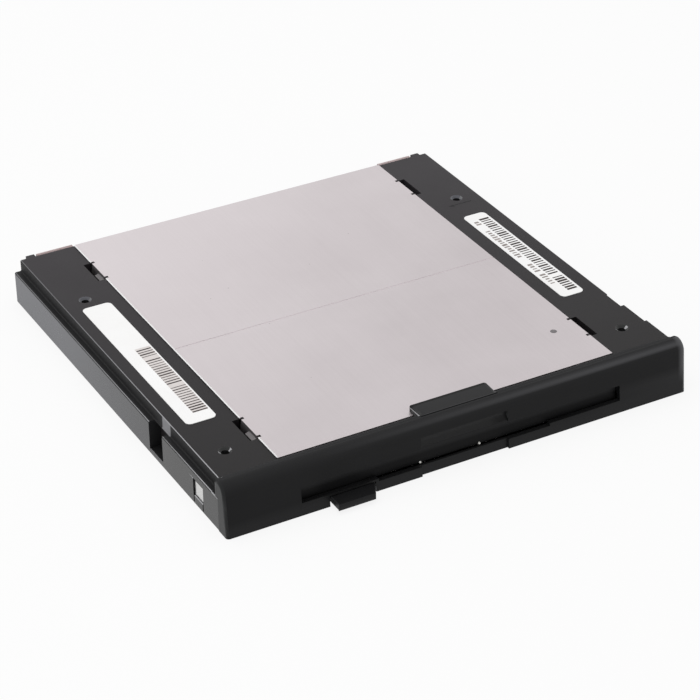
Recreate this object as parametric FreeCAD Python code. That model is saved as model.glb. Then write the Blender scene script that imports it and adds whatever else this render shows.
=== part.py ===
import FreeCAD, Part
import math
import os

# Slim 3.5-inch diskette drive module for a notebook bay.
# It lies with its steel base plate up: x across, y from the bezel to the rear, z up, millimetres.
# While the pieces are built, y = 0 is the lower front edge of the bezel and z = 0 is the surface below.

V = FreeCAD.Vector

# Carrier frame: two side channels with rails, flanges and a rear beam
FLANGE_W = 15.9
FLANGE_TOP = 12.55
FLANGE_SKIN = 1.6
RAIL_TOP = 9.3
RAIL_STEP = 1.9
RAIL_WALL = 1.5
CHANNEL_WALL = 1.6
CHANNEL_LIFT = 0.3
RIB_T = 1.2
RIB_PITCH = 16.0
EDGE_ROUND = 0.4
NOTCH_Y0 = 34.9
NOTCH_Y1 = 42.6
NOTCH_DEPTH = 3.2
NOTCH_FLOOR = 1.35
WINDOW_Y0 = 12.4
WINDOW_Y1 = 17.8
WINDOW_Z0 = 2.55
WINDOW_Z1 = 7.25
SLIT_W = 0.5
SLIT_Z0 = 0.5
EAR_W = 2.4
EAR_INSET = 2.1
EAR_Z0 = 4.35
EAR_OUT = 1.3
FILM_GAP = 0.2
FILM_INSET = 5.1
FILM_OUT = 1.25
FILM_T = 0.2
FILM_DROP = 0.25
LEDGE_T = 1.2
BEAM_T = 1.6
BEAM_END_Z = 1.0
SCREW_INSET = 6.65
SCREW_Y0 = 17.3
SCREW_PITCH = 82.6
SCREW_R = 1.0
SCREW_DEPTH = 4.0
SINK_R = 1.7
SINK_DEPTH = 0.6
STEP_Y0 = 17.3
STEP_Y1 = 26.7
STEP_Y2 = 33.9
STEP_OUT = 0.65
STEP_IN = 0.6

# Base plate with four bent tabs, seated between the flanges
PLATE_OVER = 0.55
PLATE_T = 0.5
PLATE_PROUD = 0.3
PLATE_GAP = 0.12
PLATE_CORNER = 0.3
TAB_L = 8.2
TAB_LEAN = 0.4
TAB_GAP = 0.2
HOOK_L = 3.8
HOOK_OUT = 1.2
HOOK_DROP = 0.7
HOOK_H = 1.0
RELIEF = 0.9
TAB_FRONT = 15.13
TAB_REAR = 16.05
POCKET_L = 10.0
POCKET_W = 2.1
POCKET_DEPTH = 3.2
SEAM_Y = 65.0
SEAM_W = 0.3
SEAM_DEPTH = 0.12
DIMPLE_X = 40.7
DIMPLE_Y = 24.2
DIMPLE_R = 0.9
DIMPLE_DEPTH = 0.25
SEAT_GAP = 0.05

# Bezel
LEAN = 1.15
LEAN_DROP = 1.0
CROWN_Y = 4.3
CROWN_UP = 1.85
JOIN_Y = 7.7
BOW_IN = 0.27
BOW_UP = 0.65
SLOPE_IN = 0.56
SLOPE_UP = 0.6
BEZEL_WALL = 1.4
BEZEL_END_WALL = 1.7
BEZEL_FLOOR = 0.9
SIDE_Y = 4.3
SIDE_UPPER_Y = 5.5
BEZEL_ROUND = 0.9
SLOT_PLAY = 0.5
SLOT_Z0 = 3.35
SLOT_H = 4.28
DIP_W = 49.0
DIP = 0.7
RECESS_W = 24.8
RECESS_TOP = 10.75
RECESS_DEPTH = 0.7
GRIP_X = 0.5
GRIP_W = 22.0
GRIP_Y = 10.2
GRIP_ROUND = 0.6
GRIP_BEVEL_W = 1.1
GRIP_BEVEL_H = 0.3
GRIP_GROOVE = 0.3

# Dust flap behind the slot
FLAP_T = 0.8
FLAP_GAP = 0.3
FLAP_PIVOT_UP = 0.67
FLAP_LAP = 0.4
FLAP_END_GAP = 0.3
FLAP_PIN_R = 0.38
FLAP_PIN_L = 1.3
FLAP_PIN_PLAY = 0.05
BOSS_L = 1.5
BOSS_R = 1.1

# Labels on the flanges
LABEL_T = 0.12
LABEL_ROUND = 1.4
LEFT_LABEL_INSET = 3.6
LEFT_LABEL_W = 8.2
LEFT_LABEL_Y0 = 31.6
LEFT_LABEL_L = 63.9
RIGHT_LABEL_INSET = 4.4
RIGHT_LABEL_W = 6.9
RIGHT_LABEL_Y0 = 37.9
RIGHT_LABEL_L = 51.1

# Lower cover and chassis rails
LOWER_T = 0.4
LOWER_Z = 0.3
LOWER_Y0 = 4.5
BEAD_W = 3.0
BEAD_H = 0.2
BEAD_PITCH = 26.0
BEAD_INSET = 22.0
RAIL_T = 0.6
RAIL_LIP = 2.6
RAIL_Y0 = 9.0
RAIL_END_GAP = 1.7

# Disk and its cage, which rests in its loaded position
DISK_W = 90.0
DISK_L = 94.0
DISK_Y0 = 4.0
DISK_PLAY = 0.3
LOAD_TRAVEL = 1.6
CAGE_T = 0.4
CAGE_IN_H = 4.2
CAGE_FRONT_GAP = 0.9
CAGE_TAIL = 6.0
CAGE_LIP = 2.4
HEAD_SLOT_W = 18.0
HEAD_SLOT_FRONT = 9.0
CAGE_HOLE_W = 19.0
CAGE_HOLE_INSET = 9.3
CAGE_HOLE_Y0 = 26.0
CAGE_HOLE_Y1 = 72.0
PIN_R = 0.8
PIN_UP = 2.0
PIN_Y0 = 22.0
PIN_Y1 = 84.0
PIN_PLAY = 0.25

# Eject plate and button, which rest pushed out
EJECT_TRAVEL = 4.0
EJECT_T = 0.4
EJECT_LIFT = 0.35
EJECT_GAP = 0.3
EJECT_Y0 = 9.0
EJECT_TAIL = 8.0
EJECT_WALL_H = 1.6
LOBE_L = 14.0
LOBE_UP = 1.0
BUTTON_INSET = 7.8
BUTTON_W = 12.1
BUTTON_OUT = 4.0
BUTTON_SLANT = 2.1
BUTTON_Z0 = 0.8
BUTTON_Z1 = 2.55
BUTTON_BACK = 6.0
BUTTON_PLAY = 0.3
BUTTON_ROUND = 0.5
LIGHTEN_X = 27.0
LIGHTEN_W = 18.0
LIGHTEN_L = 26.0
LIGHTEN_Y0 = 26.0
LIGHTEN_Y1 = 62.0
TONGUE_W = 8.0
TONGUE_IN = 4.5

# Trigger lever below the cage
LEVER_T = 0.5
LEVER_GAP = 0.1
LEVER_INSET = 9.3
LEVER_BACK = 1.0
LEVER_REACH = 20.0
LEVER_LIFT = 1.6
LEVER_W = 5.0
LEVER_SWING = 30.0
NOSE_R = 1.0
NOSE_H = 2.8
NOSE_PLAY = 0.5
PIVOT_R = 1.5
PIVOT_HEAD_R = 2.3
PIVOT_HEAD_T = 0.25
PIVOT_PLAY = 0.06
TAIL_L = 7.0
TAIL_W = 2.0

# Spindle motor
SPINDLE_R = 1.5
HUB_R = 12.5
HUB_T = 0.55
TIP_R = 2.0
TIP_H = 0.95
ROTOR_R = 16.0
ROTOR_T = 0.5
ROTOR_H = 1.9
ROTOR_GAP = 0.2
MAGNET_T = 1.8
HUB_BOSS_R = 4.0
HUB_BOSS_T = 0.6
BEARING_R = 4.5
BEARING_GAP = 0.3
BEARING_PLAY = 0.05
AIR_GAP = 0.4
CORE_T = 0.7
TEETH = 9
TOOTH_W = 2.0
SHOE_T = 1.4
SHOE_W = 6.0
YOKE_T = 1.4
TOOTH_L = 3.8
COIL_T = 0.3
STATOR_GAP = 0.3
DRIVE_PIN_R = 1.2
DRIVE_PIN_OFF = 10.0
DRIVE_PIN_H = 0.85

# Boards
BOARD_T = 0.8
BOARD_Y0 = 12.0
BOARD_BACK = 15.0
BOARD_GAP = 0.3
CHIP_T = 1.3
CHIP_INSET = 4.4
CHIP_Y = 22.0
DRIVER_CHIP = 10.0
LOGIC_CHIP = 14.0
SWITCH_H = 1.7
SWITCH_L = 5.0
SWITCH_W = 3.0
SWITCH_INSET = 2.0
SWITCH_PITCH = 5.0

# Head carriage, guide rod, lead screw and stepper motor
TRACK_R = 39.5
HEAD_TRAVEL = 14.8
ROD_X = 14.0
ROD_DROP = 1.6
ROD_R = 1.0
ROD_GAP = 3.0
ROD_PLAY = 0.05
CLAMP_L = 3.0
CLAMP_W = 5.0
CLAMP_T = 0.5
SLEEVE_W = 4.4
SLEEVE_GAP = 0.2
SLEEVE_T = 0.4
CARRIAGE_TAPER = 5.0
CARRIAGE_DROP = 2.6
CARRIAGE_T = 1.0
CARRIAGE_X0 = -12.0
CARRIAGE_FRONT = 4.5
CARRIAGE_L = 33.0
POST_BACK = 24.0
POST_T = 4.0
POST_W = 10.0
POST_Z0 = 2.85
HEAD_L = 6.0
HEAD_W = 5.0
HEAD_H = 2.05
HEAD_GAP = 0.45
UPPER_HEAD_H = 0.8
UPPER_HEAD_L = 5.0
ARM_T = 0.6
ARM_HINGE_Z = 3.75
ARM_TIP = 3.0
ARM_TIP_W = 6.0
ARM_EAR_T = 0.8
ARM_EAR_GAP = 0.3
ARM_EAR_R = 0.85
ARM_EAR_L = 3.0
ARM_GAP = 0.6
HINGE_R = 0.5
HINGE_PLAY = 0.05
LEAD_X = -16.0
LEAD_DROP = 3.4
LEAD_R = 1.0
LEAD_BUSH_PLAY = 0.05
NUT_GAP = 0.3
NUT_T = 0.8
BRACKET_T = 0.8
BRACKET_W = 5.0
LEAD_EYE = 0.5
BRACKET_GAP = 0.2
MOTOR_R = 3.2
MOTOR_L = 9.0
MOTOR_REAR_GAP = 1.7
SCREW_IN = 4.5
SCREW_END_GAP = 0.5

# Rear bay connector and its board
CONNECTOR_W = 38.0
CONNECTOR_INSET = 2.7
CONNECTOR_Z0 = 2.6
CONNECTOR_Z1 = 8.4
CONNECTOR_L = 7.6
CONNECTOR_OUT = 0.8
MOUTH_H = 2.4
MOUTH_DEPTH = 4.5
MOUTH_RIM = 1.6
LINK_BOARD_GAP = 1.5
LINK_BOARD_L = 19.2

# Latch plate behind the rail window
LATCH_T = 0.4
LATCH_IN = 0.35
LATCH_PLAY = 0.15
LATCH_TOP_GAP = 0.6
LATCH_OVER = 3.0
LATCH_Z = 0.9

# Places across the width, from the disk outwards
CAGE_X = DISK_W / 2 + DISK_PLAY
CAGE_OUT = CAGE_X + CAGE_T
EJECT_IN_X = CAGE_OUT + EJECT_GAP
EJECT_X = EJECT_IN_X + EJECT_T
RAIL_IN = EJECT_X + EJECT_GAP
RAIL_OUT = RAIL_IN + RAIL_T
PLATE_X = RAIL_OUT + PLATE_OVER
FLANGE_X = PLATE_X + SEAT_GAP
UPPER_X = FLANGE_X + FLANGE_W
HALF_W = UPPER_X + RAIL_STEP
SLOT_W = DISK_W + 2 * SLOT_PLAY
BUTTON_X0 = BUTTON_INSET - SLOT_W / 2
BUTTON_X1 = BUTTON_X0 + BUTTON_W
SCREW_X = UPPER_X - SCREW_INSET
LEVER_X = CAGE_X - LEVER_INSET
BOARD_X = RAIL_OUT - RAIL_LIP - BOARD_GAP
CONNECTOR_X1 = RAIL_IN - CONNECTOR_INSET
CONNECTOR_X0 = CONNECTOR_X1 - CONNECTOR_W

# Heights
PLATE_TOP = FLANGE_TOP + PLATE_PROUD
PLATE_Z = PLATE_TOP - PLATE_T
POCKET_FLOOR = FLANGE_TOP - POCKET_DEPTH
FILM_Z = FLANGE_TOP - FILM_DROP
LEAN_Z = FLANGE_TOP - LEAN_DROP
CROWN_Z = FLANGE_TOP + CROWN_UP
SLOT_Z1 = SLOT_Z0 + SLOT_H
FLAP_PIVOT_Z = SLOT_Z1 + FLAP_PIVOT_UP
FLAP_LOW = SLOT_Z0 - FLAP_LAP
LOWER_TOP = LOWER_Z + LOWER_T
EJECT_Z = LOWER_TOP + EJECT_LIFT
EJECT_TOP = EJECT_Z + EJECT_T
CAGE_Z1 = SLOT_Z0 + LOAD_TRAVEL
CAGE_Z0 = CAGE_Z1 - CAGE_T
CAGE_LIP_Z = CAGE_Z1 + CAGE_IN_H
PIN_Z = CAGE_Z1 + PIN_UP
LOBE_TOP = PIN_Z + PIN_R + LOBE_UP
LEVER_TOP = CAGE_Z0 - LEVER_GAP
LEVER_Z = LEVER_TOP - LEVER_T
BOARD_Z = PLATE_Z - BOARD_T
ROTOR_Z1 = BOARD_Z - ROTOR_GAP
HUB_Z1 = ROTOR_Z1 - ROTOR_H
HUB_Z0 = HUB_Z1 - HUB_T
TIP_Z = HUB_Z0 - TIP_H
ROD_Z = PLATE_Z - ROD_DROP
LEAD_Z = PLATE_Z - LEAD_DROP
CARRIAGE_Z0 = PLATE_Z - CARRIAGE_DROP
LOWER_HEAD_Z = CARRIAGE_Z0 - HEAD_H
UPPER_HEAD_Z = LOWER_HEAD_Z - HEAD_GAP
ARM_RISE = UPPER_HEAD_Z - UPPER_HEAD_H - ARM_T / 2 - ARM_HINGE_Z

# Depths, from the bezel to the rear
PLATE_Y0 = JOIN_Y + PLATE_GAP
CAGE_Y0 = JOIN_Y + CAGE_FRONT_GAP
FLAP_Y = BEZEL_WALL + FLAP_GAP + FLAP_T / 2
DISK_Y1 = DISK_Y0 + DISK_L
CAGE_Y1 = DISK_Y1 + CAGE_TAIL
EJECT_Y1 = CAGE_Y1 + EJECT_TAIL
LEVER_Y = DISK_Y1 + LEVER_BACK
SPINDLE_Y = DISK_Y0 + DISK_L / 2
HEAD_SLOT_Y = SPINDLE_Y - HEAD_SLOT_FRONT
BOARD_Y1 = SPINDLE_Y + BOARD_BACK
HEAD_Y = SPINDLE_Y + TRACK_R
POST_Y = HEAD_Y + POST_BACK
HINGE_Y = POST_Y + POST_T / 2
BRACKET_FRONT_Y = DISK_Y1 + BRACKET_GAP
NUT_Y = BRACKET_FRONT_Y + BRACKET_T + NUT_GAP + HEAD_TRAVEL
MOTOR_Y = NUT_Y + NUT_T + NUT_GAP + BRACKET_T
BEAM_Y = MOTOR_Y + MOTOR_L + MOTOR_REAR_GAP
FLANGE_END = BEAM_Y + BEAM_T
PLATE_Y1 = FLANGE_END
RAIL_Y1 = BEAM_Y - RAIL_END_GAP
ROD_Y0 = SPINDLE_Y + ROTOR_R + ROD_GAP
ROD_Y1 = RAIL_Y1
TAB_Y0 = PLATE_Y0 + TAB_FRONT
TAB_Y1 = PLATE_Y1 - TAB_REAR
SCREW_Y1 = SCREW_Y0 + SCREW_PITCH
ORIGIN_Y = (FLANGE_END + EAR_OUT - BUTTON_OUT) / 2


def block(x0, x1, y0, y1, z0, z1):
    """Box between two corners."""
    return Part.makeBox(x1 - x0, y1 - y0, z1 - z0, V(x0, y0, z0))


def rod(radius, start, end):
    """Cylinder from one point to another."""
    axis = end - start
    return Part.makeCylinder(radius, axis.Length, start, axis)


def face(points):
    """Flat face with straight sides."""
    return Part.Face(Part.makePolygon(points + [points[0]]))


def across(profile, x0, x1):
    """Outline in y and z drawn out along x."""
    return face([V(x0, y, z) for y, z in profile]).extrude(V(x1 - x0, 0, 0))


def along(profile, y0, y1):
    """Outline in x and z drawn out along y."""
    return face([V(x, y0, z) for x, z in profile]).extrude(V(0, y1 - y0, 0))


def upward(profile, z0, z1):
    """Outline in x and y drawn out along z."""
    return face([V(x, y, z0) for x, y in profile]).extrude(V(0, 0, z1 - z0))


def turned(profile, x, y):
    """Outline in radius and z turned about an upright axis."""
    return face([V(x + r, y, z) for r, z in profile]).revolve(V(x, y, 0), V(0, 0, 1), 360)


def rounded(x0, x1, y0, y1, z0, z1, radius):
    """Box with rounded upright edges."""
    body = block(x0, x1, y0, y1, z0, z1)
    upright = [e for e in body.Edges if abs(e.tangentAt(e.FirstParameter).z) > 0.99]
    return body.makeFillet(radius, upright)


def mirrored(shape):
    """The same piece on the other side."""
    return shape.mirror(V(0, 0, 0), V(1, 0, 0))


def fused(shapes):
    """One solid from pieces that touch or overlap."""
    return shapes[0].multiFuse(shapes[1:]).removeSplitter()


def front_y(z):
    """Depth of the leaning front face at a height."""
    return LEAN * z / LEAN_Z


def channel(front):
    """Right side channel: flange, inner wall, stepped outer wall and rail, open below."""
    inner = FLANGE_X + CHANNEL_WALL
    skin = FLANGE_TOP - FLANGE_SKIN
    shelf = RAIL_TOP - RAIL_WALL
    wall = UPPER_X - CHANNEL_WALL
    outline = [(FLANGE_X, CHANNEL_LIFT), (FLANGE_X, FLANGE_TOP), (UPPER_X, FLANGE_TOP), (UPPER_X, RAIL_TOP),
               (HALF_W, RAIL_TOP), (HALF_W, 0), (HALF_W - RAIL_WALL, 0), (HALF_W - RAIL_WALL, shelf),
               (wall, shelf), (wall, skin), (inner, skin), (inner, CHANNEL_LIFT)]
    body = along(outline, JOIN_Y, FLANGE_END)
    rail = [(wall, shelf), (wall, skin), (UPPER_X, skin), (UPPER_X, RAIL_TOP), (HALF_W, RAIL_TOP),
            (HALF_W, 0), (HALF_W - RAIL_WALL, 0), (HALF_W - RAIL_WALL, shelf)]
    nose = along(rail, front, JOIN_Y)
    lengthwise = [e for e in body.Edges if e.BoundBox.YLength > RIB_PITCH]
    top = [e for e in lengthwise if e.BoundBox.ZMin > RAIL_TOP - 0.01 and e.BoundBox.XMin > UPPER_X - 0.01]
    body = body.makeFillet(EDGE_ROUND, top)
    return fused([body, nose])


def rib_places():
    """Depths of the cross ribs: one before the latch notch, a row behind it."""
    count = int((FLANGE_END - NOTCH_Y1) / RIB_PITCH - 0.5)
    return [(JOIN_Y + NOTCH_Y0) / 2] + [NOTCH_Y1 + RIB_PITCH * (i + 1) for i in range(count)]


def channel_ribs():
    """Cross ribs under the flange and the end wall of the right channel."""
    inner = FLANGE_X + CHANNEL_WALL / 2
    skin = FLANGE_TOP - FLANGE_SKIN / 2
    outer = UPPER_X - CHANNEL_WALL / 2
    ribs = [block(inner, outer, y, y + RIB_T, RAIL_WALL, skin) for y in rib_places()]
    edge = HALF_W - RAIL_WALL / 2
    shelf = RAIL_TOP - RAIL_WALL / 2
    end = block(inner, edge, FLANGE_END - RIB_T, FLANGE_END, CHANNEL_LIFT, shelf)
    return ribs + [end]


def rail_notch():
    """Latch notch cut into the outer wall of the right rail, open above, with a thin floor."""
    return block(HALF_W - NOTCH_DEPTH, HALF_W + 1, NOTCH_Y0, NOTCH_Y1, NOTCH_FLOOR, RAIL_TOP + 0.01)


def notch_wall():
    """Wall that closes the channel behind the latch notch."""
    inside = HALF_W - NOTCH_DEPTH - CHANNEL_WALL
    edge = HALF_W - RAIL_WALL / 2
    shelf = RAIL_TOP - RAIL_WALL / 2
    skin = FLANGE_TOP - FLANGE_SKIN / 2
    y0 = NOTCH_Y0 - RIB_T
    y1 = NOTCH_Y1 + RIB_T
    back = block(inside, inside + CHANNEL_WALL, y0, y1, 0, skin)
    near = block(inside, edge, y0, NOTCH_Y0, 0, shelf)
    far = block(inside, edge, NOTCH_Y1, y1, 0, shelf)
    floor = block(inside, HALF_W, y0, y1, 0, NOTCH_FLOOR)
    return [back, near, far, floor]


def pocket(y):
    """Pocket in the right flange that takes a bent tab of the base plate."""
    x0 = FLANGE_X - 1
    x1 = FLANGE_X + POCKET_W
    return block(x0, x1, y - POCKET_L / 2, y + POCKET_L / 2, POCKET_FLOOR, FLANGE_TOP + 1)


def pocket_boss(y):
    """Thick wall around such a pocket."""
    x1 = FLANGE_X + POCKET_W + RIB_T
    half = POCKET_L / 2 + RIB_T
    return block(FLANGE_X, x1, y - half, y + half, POCKET_FLOOR - RIB_T, FLANGE_TOP - FLANGE_SKIN / 2)


def screw_boss(y):
    """Square boss under the right flange around a screw hole."""
    half = SCREW_R + RIB_T
    low = FLANGE_TOP - SCREW_DEPTH
    return block(SCREW_X - half, SCREW_X + half, y - half, y + half, low, FLANGE_TOP - FLANGE_SKIN / 2)


def screw_hole(y):
    """Countersunk hole in the right flange."""
    low = FLANGE_TOP - SCREW_DEPTH - 0.01
    bore = rod(SCREW_R, V(SCREW_X, y, low), V(SCREW_X, y, FLANGE_TOP + 1))
    sink = Part.makeCone(SCREW_R, SINK_R, SINK_DEPTH, V(SCREW_X, y, FLANGE_TOP - SINK_DEPTH), V(0, 0, 1))
    return bore.fuse(sink)


def edge_steps():
    """The right flange widens in two steps towards the bezel, with a shallow notch behind them."""
    low = FLANGE_TOP - FLANGE_SKIN
    wide = block(UPPER_X - EDGE_ROUND * 2, UPPER_X + 2 * STEP_OUT, JOIN_Y, STEP_Y0, low, FLANGE_TOP)
    mid = block(UPPER_X - EDGE_ROUND * 2, UPPER_X + STEP_OUT, STEP_Y0, STEP_Y1, low, FLANGE_TOP)
    cut = block(UPPER_X - STEP_IN, UPPER_X + 1, STEP_Y1, STEP_Y2, low, FLANGE_TOP + 1)
    rear = [e for e in cut.Edges if e.BoundBox.XLength < 0.01 and e.BoundBox.YLength < 0.01
            and e.BoundBox.XMin < UPPER_X and e.BoundBox.YMin > STEP_Y1 + 1]
    return wide, mid, cut.makeFillet(STEP_IN * 0.9, rear)


def rail_window():
    """Window in the left rail with two slits down towards its lower edge."""
    x0 = -HALF_W - 1
    x1 = -HALF_W + RAIL_WALL + 0.01
    hole = block(x0, x1, WINDOW_Y0, WINDOW_Y1, WINDOW_Z0, WINDOW_Z1)
    starts = (WINDOW_Y0, WINDOW_Y1 - SLIT_W)
    slits = [block(x0, x1, y, y + SLIT_W, SLIT_Z0, WINDOW_Z0 + 0.1) for y in starts]
    return hole.multiFuse(slits)


def rear_beam():
    """Beam between the two channels, with the opening for the bay connector."""
    reach = FLANGE_X + CHANNEL_WALL / 2
    beam = block(-reach, reach, BEAM_Y, FLANGE_END, BEAM_END_Z, PLATE_Z)
    hole = block(CONNECTOR_X0, CONNECTOR_X1, BEAM_Y - 1, FLANGE_END + 1, CONNECTOR_Z0, CONNECTOR_Z1)
    return beam.cut(hole)


def film_strip(y0, z0, z1):
    """Strip as wide as the right film, out to its rear edge."""
    return block(FLANGE_X + FILM_GAP, UPPER_X - FILM_INSET, y0, FLANGE_END + FILM_OUT, z0, z1)


def rear_details():
    """Corner ear and film ledge behind the right flange."""
    y0 = FLANGE_END - BEAM_T / 2
    x1 = UPPER_X - EAR_INSET
    ear = block(x1 - EAR_W, x1, y0, FLANGE_END + EAR_OUT, EAR_Z0, FLANGE_TOP)
    ledge = film_strip(y0, FILM_Z - LEDGE_T, FILM_Z)
    return [ear, ledge]


def carrier_frame():
    """Moulded frame that carries the drive in the bay."""
    side = fused([channel(SIDE_Y)] + channel_ribs())
    side = side.cut(rail_notch())
    bosses = [pocket_boss(TAB_Y0), pocket_boss(TAB_Y1), screw_boss(SCREW_Y0), screw_boss(SCREW_Y1)]
    side = fused([side] + notch_wall() + bosses + rear_details())
    tools = [pocket(TAB_Y0), pocket(TAB_Y1), screw_hole(SCREW_Y0), screw_hole(SCREW_Y1)]
    side = side.cut(Part.makeCompound(tools))
    left = mirrored(side).cut(rail_window())
    wide, mid, step = edge_steps()
    right = fused([side.cut(step), wide, mid])
    return fused([left, right, rear_beam()])


def relief_outline(y, sign):
    """Corners of the two relief notches beside one tab, along the plate's edge towards the rear."""
    edge = sign * PLATE_X
    deep = sign * (PLATE_X - RELIEF)
    near = TAB_L / 2
    far = near + RELIEF
    return [(edge, y - far), (deep, y - far), (deep, y - near), (edge, y - near),
            (edge, y + near), (deep, y + near), (deep, y + far), (edge, y + far)]


def plate_tab(y):
    """Right tab, bent down at the plate's edge, with a hook that grips in its pocket."""
    y0 = y - TAB_L / 2
    foot = PLATE_X + TAB_LEAN
    low = POCKET_FLOOR + TAB_GAP
    sheet = [(PLATE_X - PLATE_T, PLATE_TOP), (PLATE_X, PLATE_TOP), (foot, low), (foot - PLATE_T, low)]
    root = PLATE_X - PLATE_T / 2
    tip = PLATE_X + HOOK_OUT
    z1 = PLATE_TOP - HOOK_DROP
    z0 = z1 - HOOK_H
    barb = [(root, z0), (tip, z0), (tip, (z0 + z1) / 2), (root, z1)]
    return along(sheet, y0, y0 + TAB_L).fuse(along(barb, y0, y0 + HOOK_L))


def cover_plate():
    """Steel base plate with four tabs bent down into the pockets of the flanges."""
    right = relief_outline(TAB_Y0, 1) + relief_outline(TAB_Y1, 1)
    left = relief_outline(TAB_Y0, -1) + relief_outline(TAB_Y1, -1)
    front = [(-PLATE_X, PLATE_Y0), (PLATE_X, PLATE_Y0)]
    rear = [(PLATE_X, PLATE_Y1), (-PLATE_X, PLATE_Y1)]
    plate = upward(front + right + rear + left[::-1], PLATE_Z, PLATE_TOP)
    upright = [e for e in plate.Edges if e.BoundBox.ZLength > PLATE_T / 2]
    ends = [e for e in upright if e.BoundBox.YMax < PLATE_Y0 + 0.01 or e.BoundBox.YMin > PLATE_Y1 - 0.01]
    plate = plate.makeFillet(PLATE_CORNER, ends)
    tabs = [plate_tab(TAB_Y0), plate_tab(TAB_Y1)]
    plate = fused([plate] + tabs + [mirrored(tab) for tab in tabs])
    y0 = SEAM_Y - SEAM_W / 2
    seam = block(-PLATE_X - 1, PLATE_X + 1, y0, y0 + SEAM_W, PLATE_TOP - SEAM_DEPTH, PLATE_TOP + 1)
    pit = V(DIMPLE_X, DIMPLE_Y, PLATE_TOP - DIMPLE_DEPTH)
    dimple = Part.makeCone(DIMPLE_R / 2, DIMPLE_R, DIMPLE_DEPTH, pit)
    return plate.cut(seam).cut(dimple)


def bezel_profile():
    """Side outline of the bezel: leaning front, round crown, slope down to the flange."""
    foot = V(0, 0, 0)
    brow = V(0, LEAN, LEAN_Z)
    bow = V(0, LEAN + BOW_IN * (CROWN_Y - LEAN), LEAN_Z + BOW_UP * (CROWN_Z - LEAN_Z))
    crown = V(0, CROWN_Y, CROWN_Z)
    slope = V(0, CROWN_Y + SLOPE_IN * (JOIN_Y - CROWN_Y), FLANGE_TOP + SLOPE_UP * (CROWN_Z - FLANGE_TOP))
    join = V(0, JOIN_Y, FLANGE_TOP)
    heel = V(0, JOIN_Y, 0)
    nose = Part.Arc(brow, bow, crown).toShape()
    back = Part.Arc(crown, slope, join).toShape()
    lines = [Part.makeLine(join, heel), Part.makeLine(heel, foot)]
    return Part.Face(Part.Wire([Part.makeLine(foot, brow), nose, back] + lines))


def bezel_hollow():
    """Space behind the front wall, open to the rear."""
    low = front_y(BEZEL_FLOOR) + BEZEL_WALL
    high = front_y(LEAN_Z) + BEZEL_WALL
    rear = JOIN_Y + 1
    outline = [(low, BEZEL_FLOOR), (high, LEAN_Z), (CROWN_Y, CROWN_Z - BEZEL_WALL),
               (rear, FLANGE_TOP - FLANGE_SKIN), (rear, BEZEL_FLOOR)]
    x = HALF_W - BEZEL_END_WALL
    space = across(outline, -x, x)
    open_floor = block(-HALF_W - 1, HALF_W + 1, SIDE_Y, JOIN_Y + 1, -1, RAIL_TOP)
    upper = block(UPPER_X, HALF_W + 1, SIDE_UPPER_Y, JOIN_Y + 1, RAIL_TOP - 0.01, CROWN_Z + 1)
    return space.multiFuse([open_floor, upper, mirrored(upper)])


def bezel_openings():
    """Disk slot with its dip, finger recess and button gap."""
    slot = block(-SLOT_W / 2, SLOT_W / 2, -1, SIDE_Y, SLOT_Z0, SLOT_Z1)
    dip = block(-DIP_W / 2, DIP_W / 2, -1, SIDE_Y, SLOT_Z0 - DIP, SLOT_Z1)
    inner = front_y(RECESS_TOP) + RECESS_DEPTH
    recess = across([(-1, -1), (RECESS_DEPTH + front_y(-1), -1), (inner, RECESS_TOP - RECESS_DEPTH),
                     (front_y(RECESS_TOP), RECESS_TOP), (-1, RECESS_TOP)], -RECESS_W / 2, RECESS_W / 2)
    x0 = BUTTON_X0 - BUTTON_PLAY
    x1 = BUTTON_X1 + BUTTON_PLAY
    button = block(x0, x1, -1, SIDE_Y + 1, -1, BUTTON_Z1 + BUTTON_PLAY)
    return [slot, dip, recess, button]


def grip_tab():
    """Finger tab behind the crown that overlies the front edge of the base plate."""
    x0 = GRIP_X - GRIP_W / 2
    x1 = GRIP_X + GRIP_W / 2
    tab = block(x0, x1, CROWN_Y, GRIP_Y, PLATE_TOP, CROWN_Z)
    ends = [e for e in tab.Edges if e.BoundBox.ZLength > 1 and e.BoundBox.YMin > GRIP_Y - 0.01]
    tab = tab.makeFillet(GRIP_ROUND, ends)
    low = CROWN_Z - 2 * GRIP_BEVEL_H
    high = CROWN_Z + GRIP_BEVEL_H
    w = GRIP_BEVEL_W
    left = along([(x0 - w, low), (x0 + 2 * w, high), (x0 - w, high)], CROWN_Y - 1, GRIP_Y + 1)
    right = along([(x1 + w, low), (x1 + w, high), (x1 - 2 * w, high)], CROWN_Y - 1, GRIP_Y + 1)
    return tab.cut(left).cut(right)


def flap_pivot():
    """Depth of the flap's axis."""
    return FLAP_Y + front_y(FLAP_PIVOT_Z)


def flap_bosses():
    """Two bosses inside the bezel that hold the flap's pins."""
    y = flap_pivot()
    z = FLAP_PIVOT_Z
    x0 = SLOT_W / 2
    boss = block(x0, x0 + BOSS_L, front_y(z) + BEZEL_WALL / 2, y + BOSS_R, z - BOSS_R, z + BOSS_R)
    boss = boss.cut(rod(FLAP_PIN_R + FLAP_PIN_PLAY, V(x0 - 1, y, z), V(x0 + BOSS_L + 1, y, z)))
    return [boss, mirrored(boss)]


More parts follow.
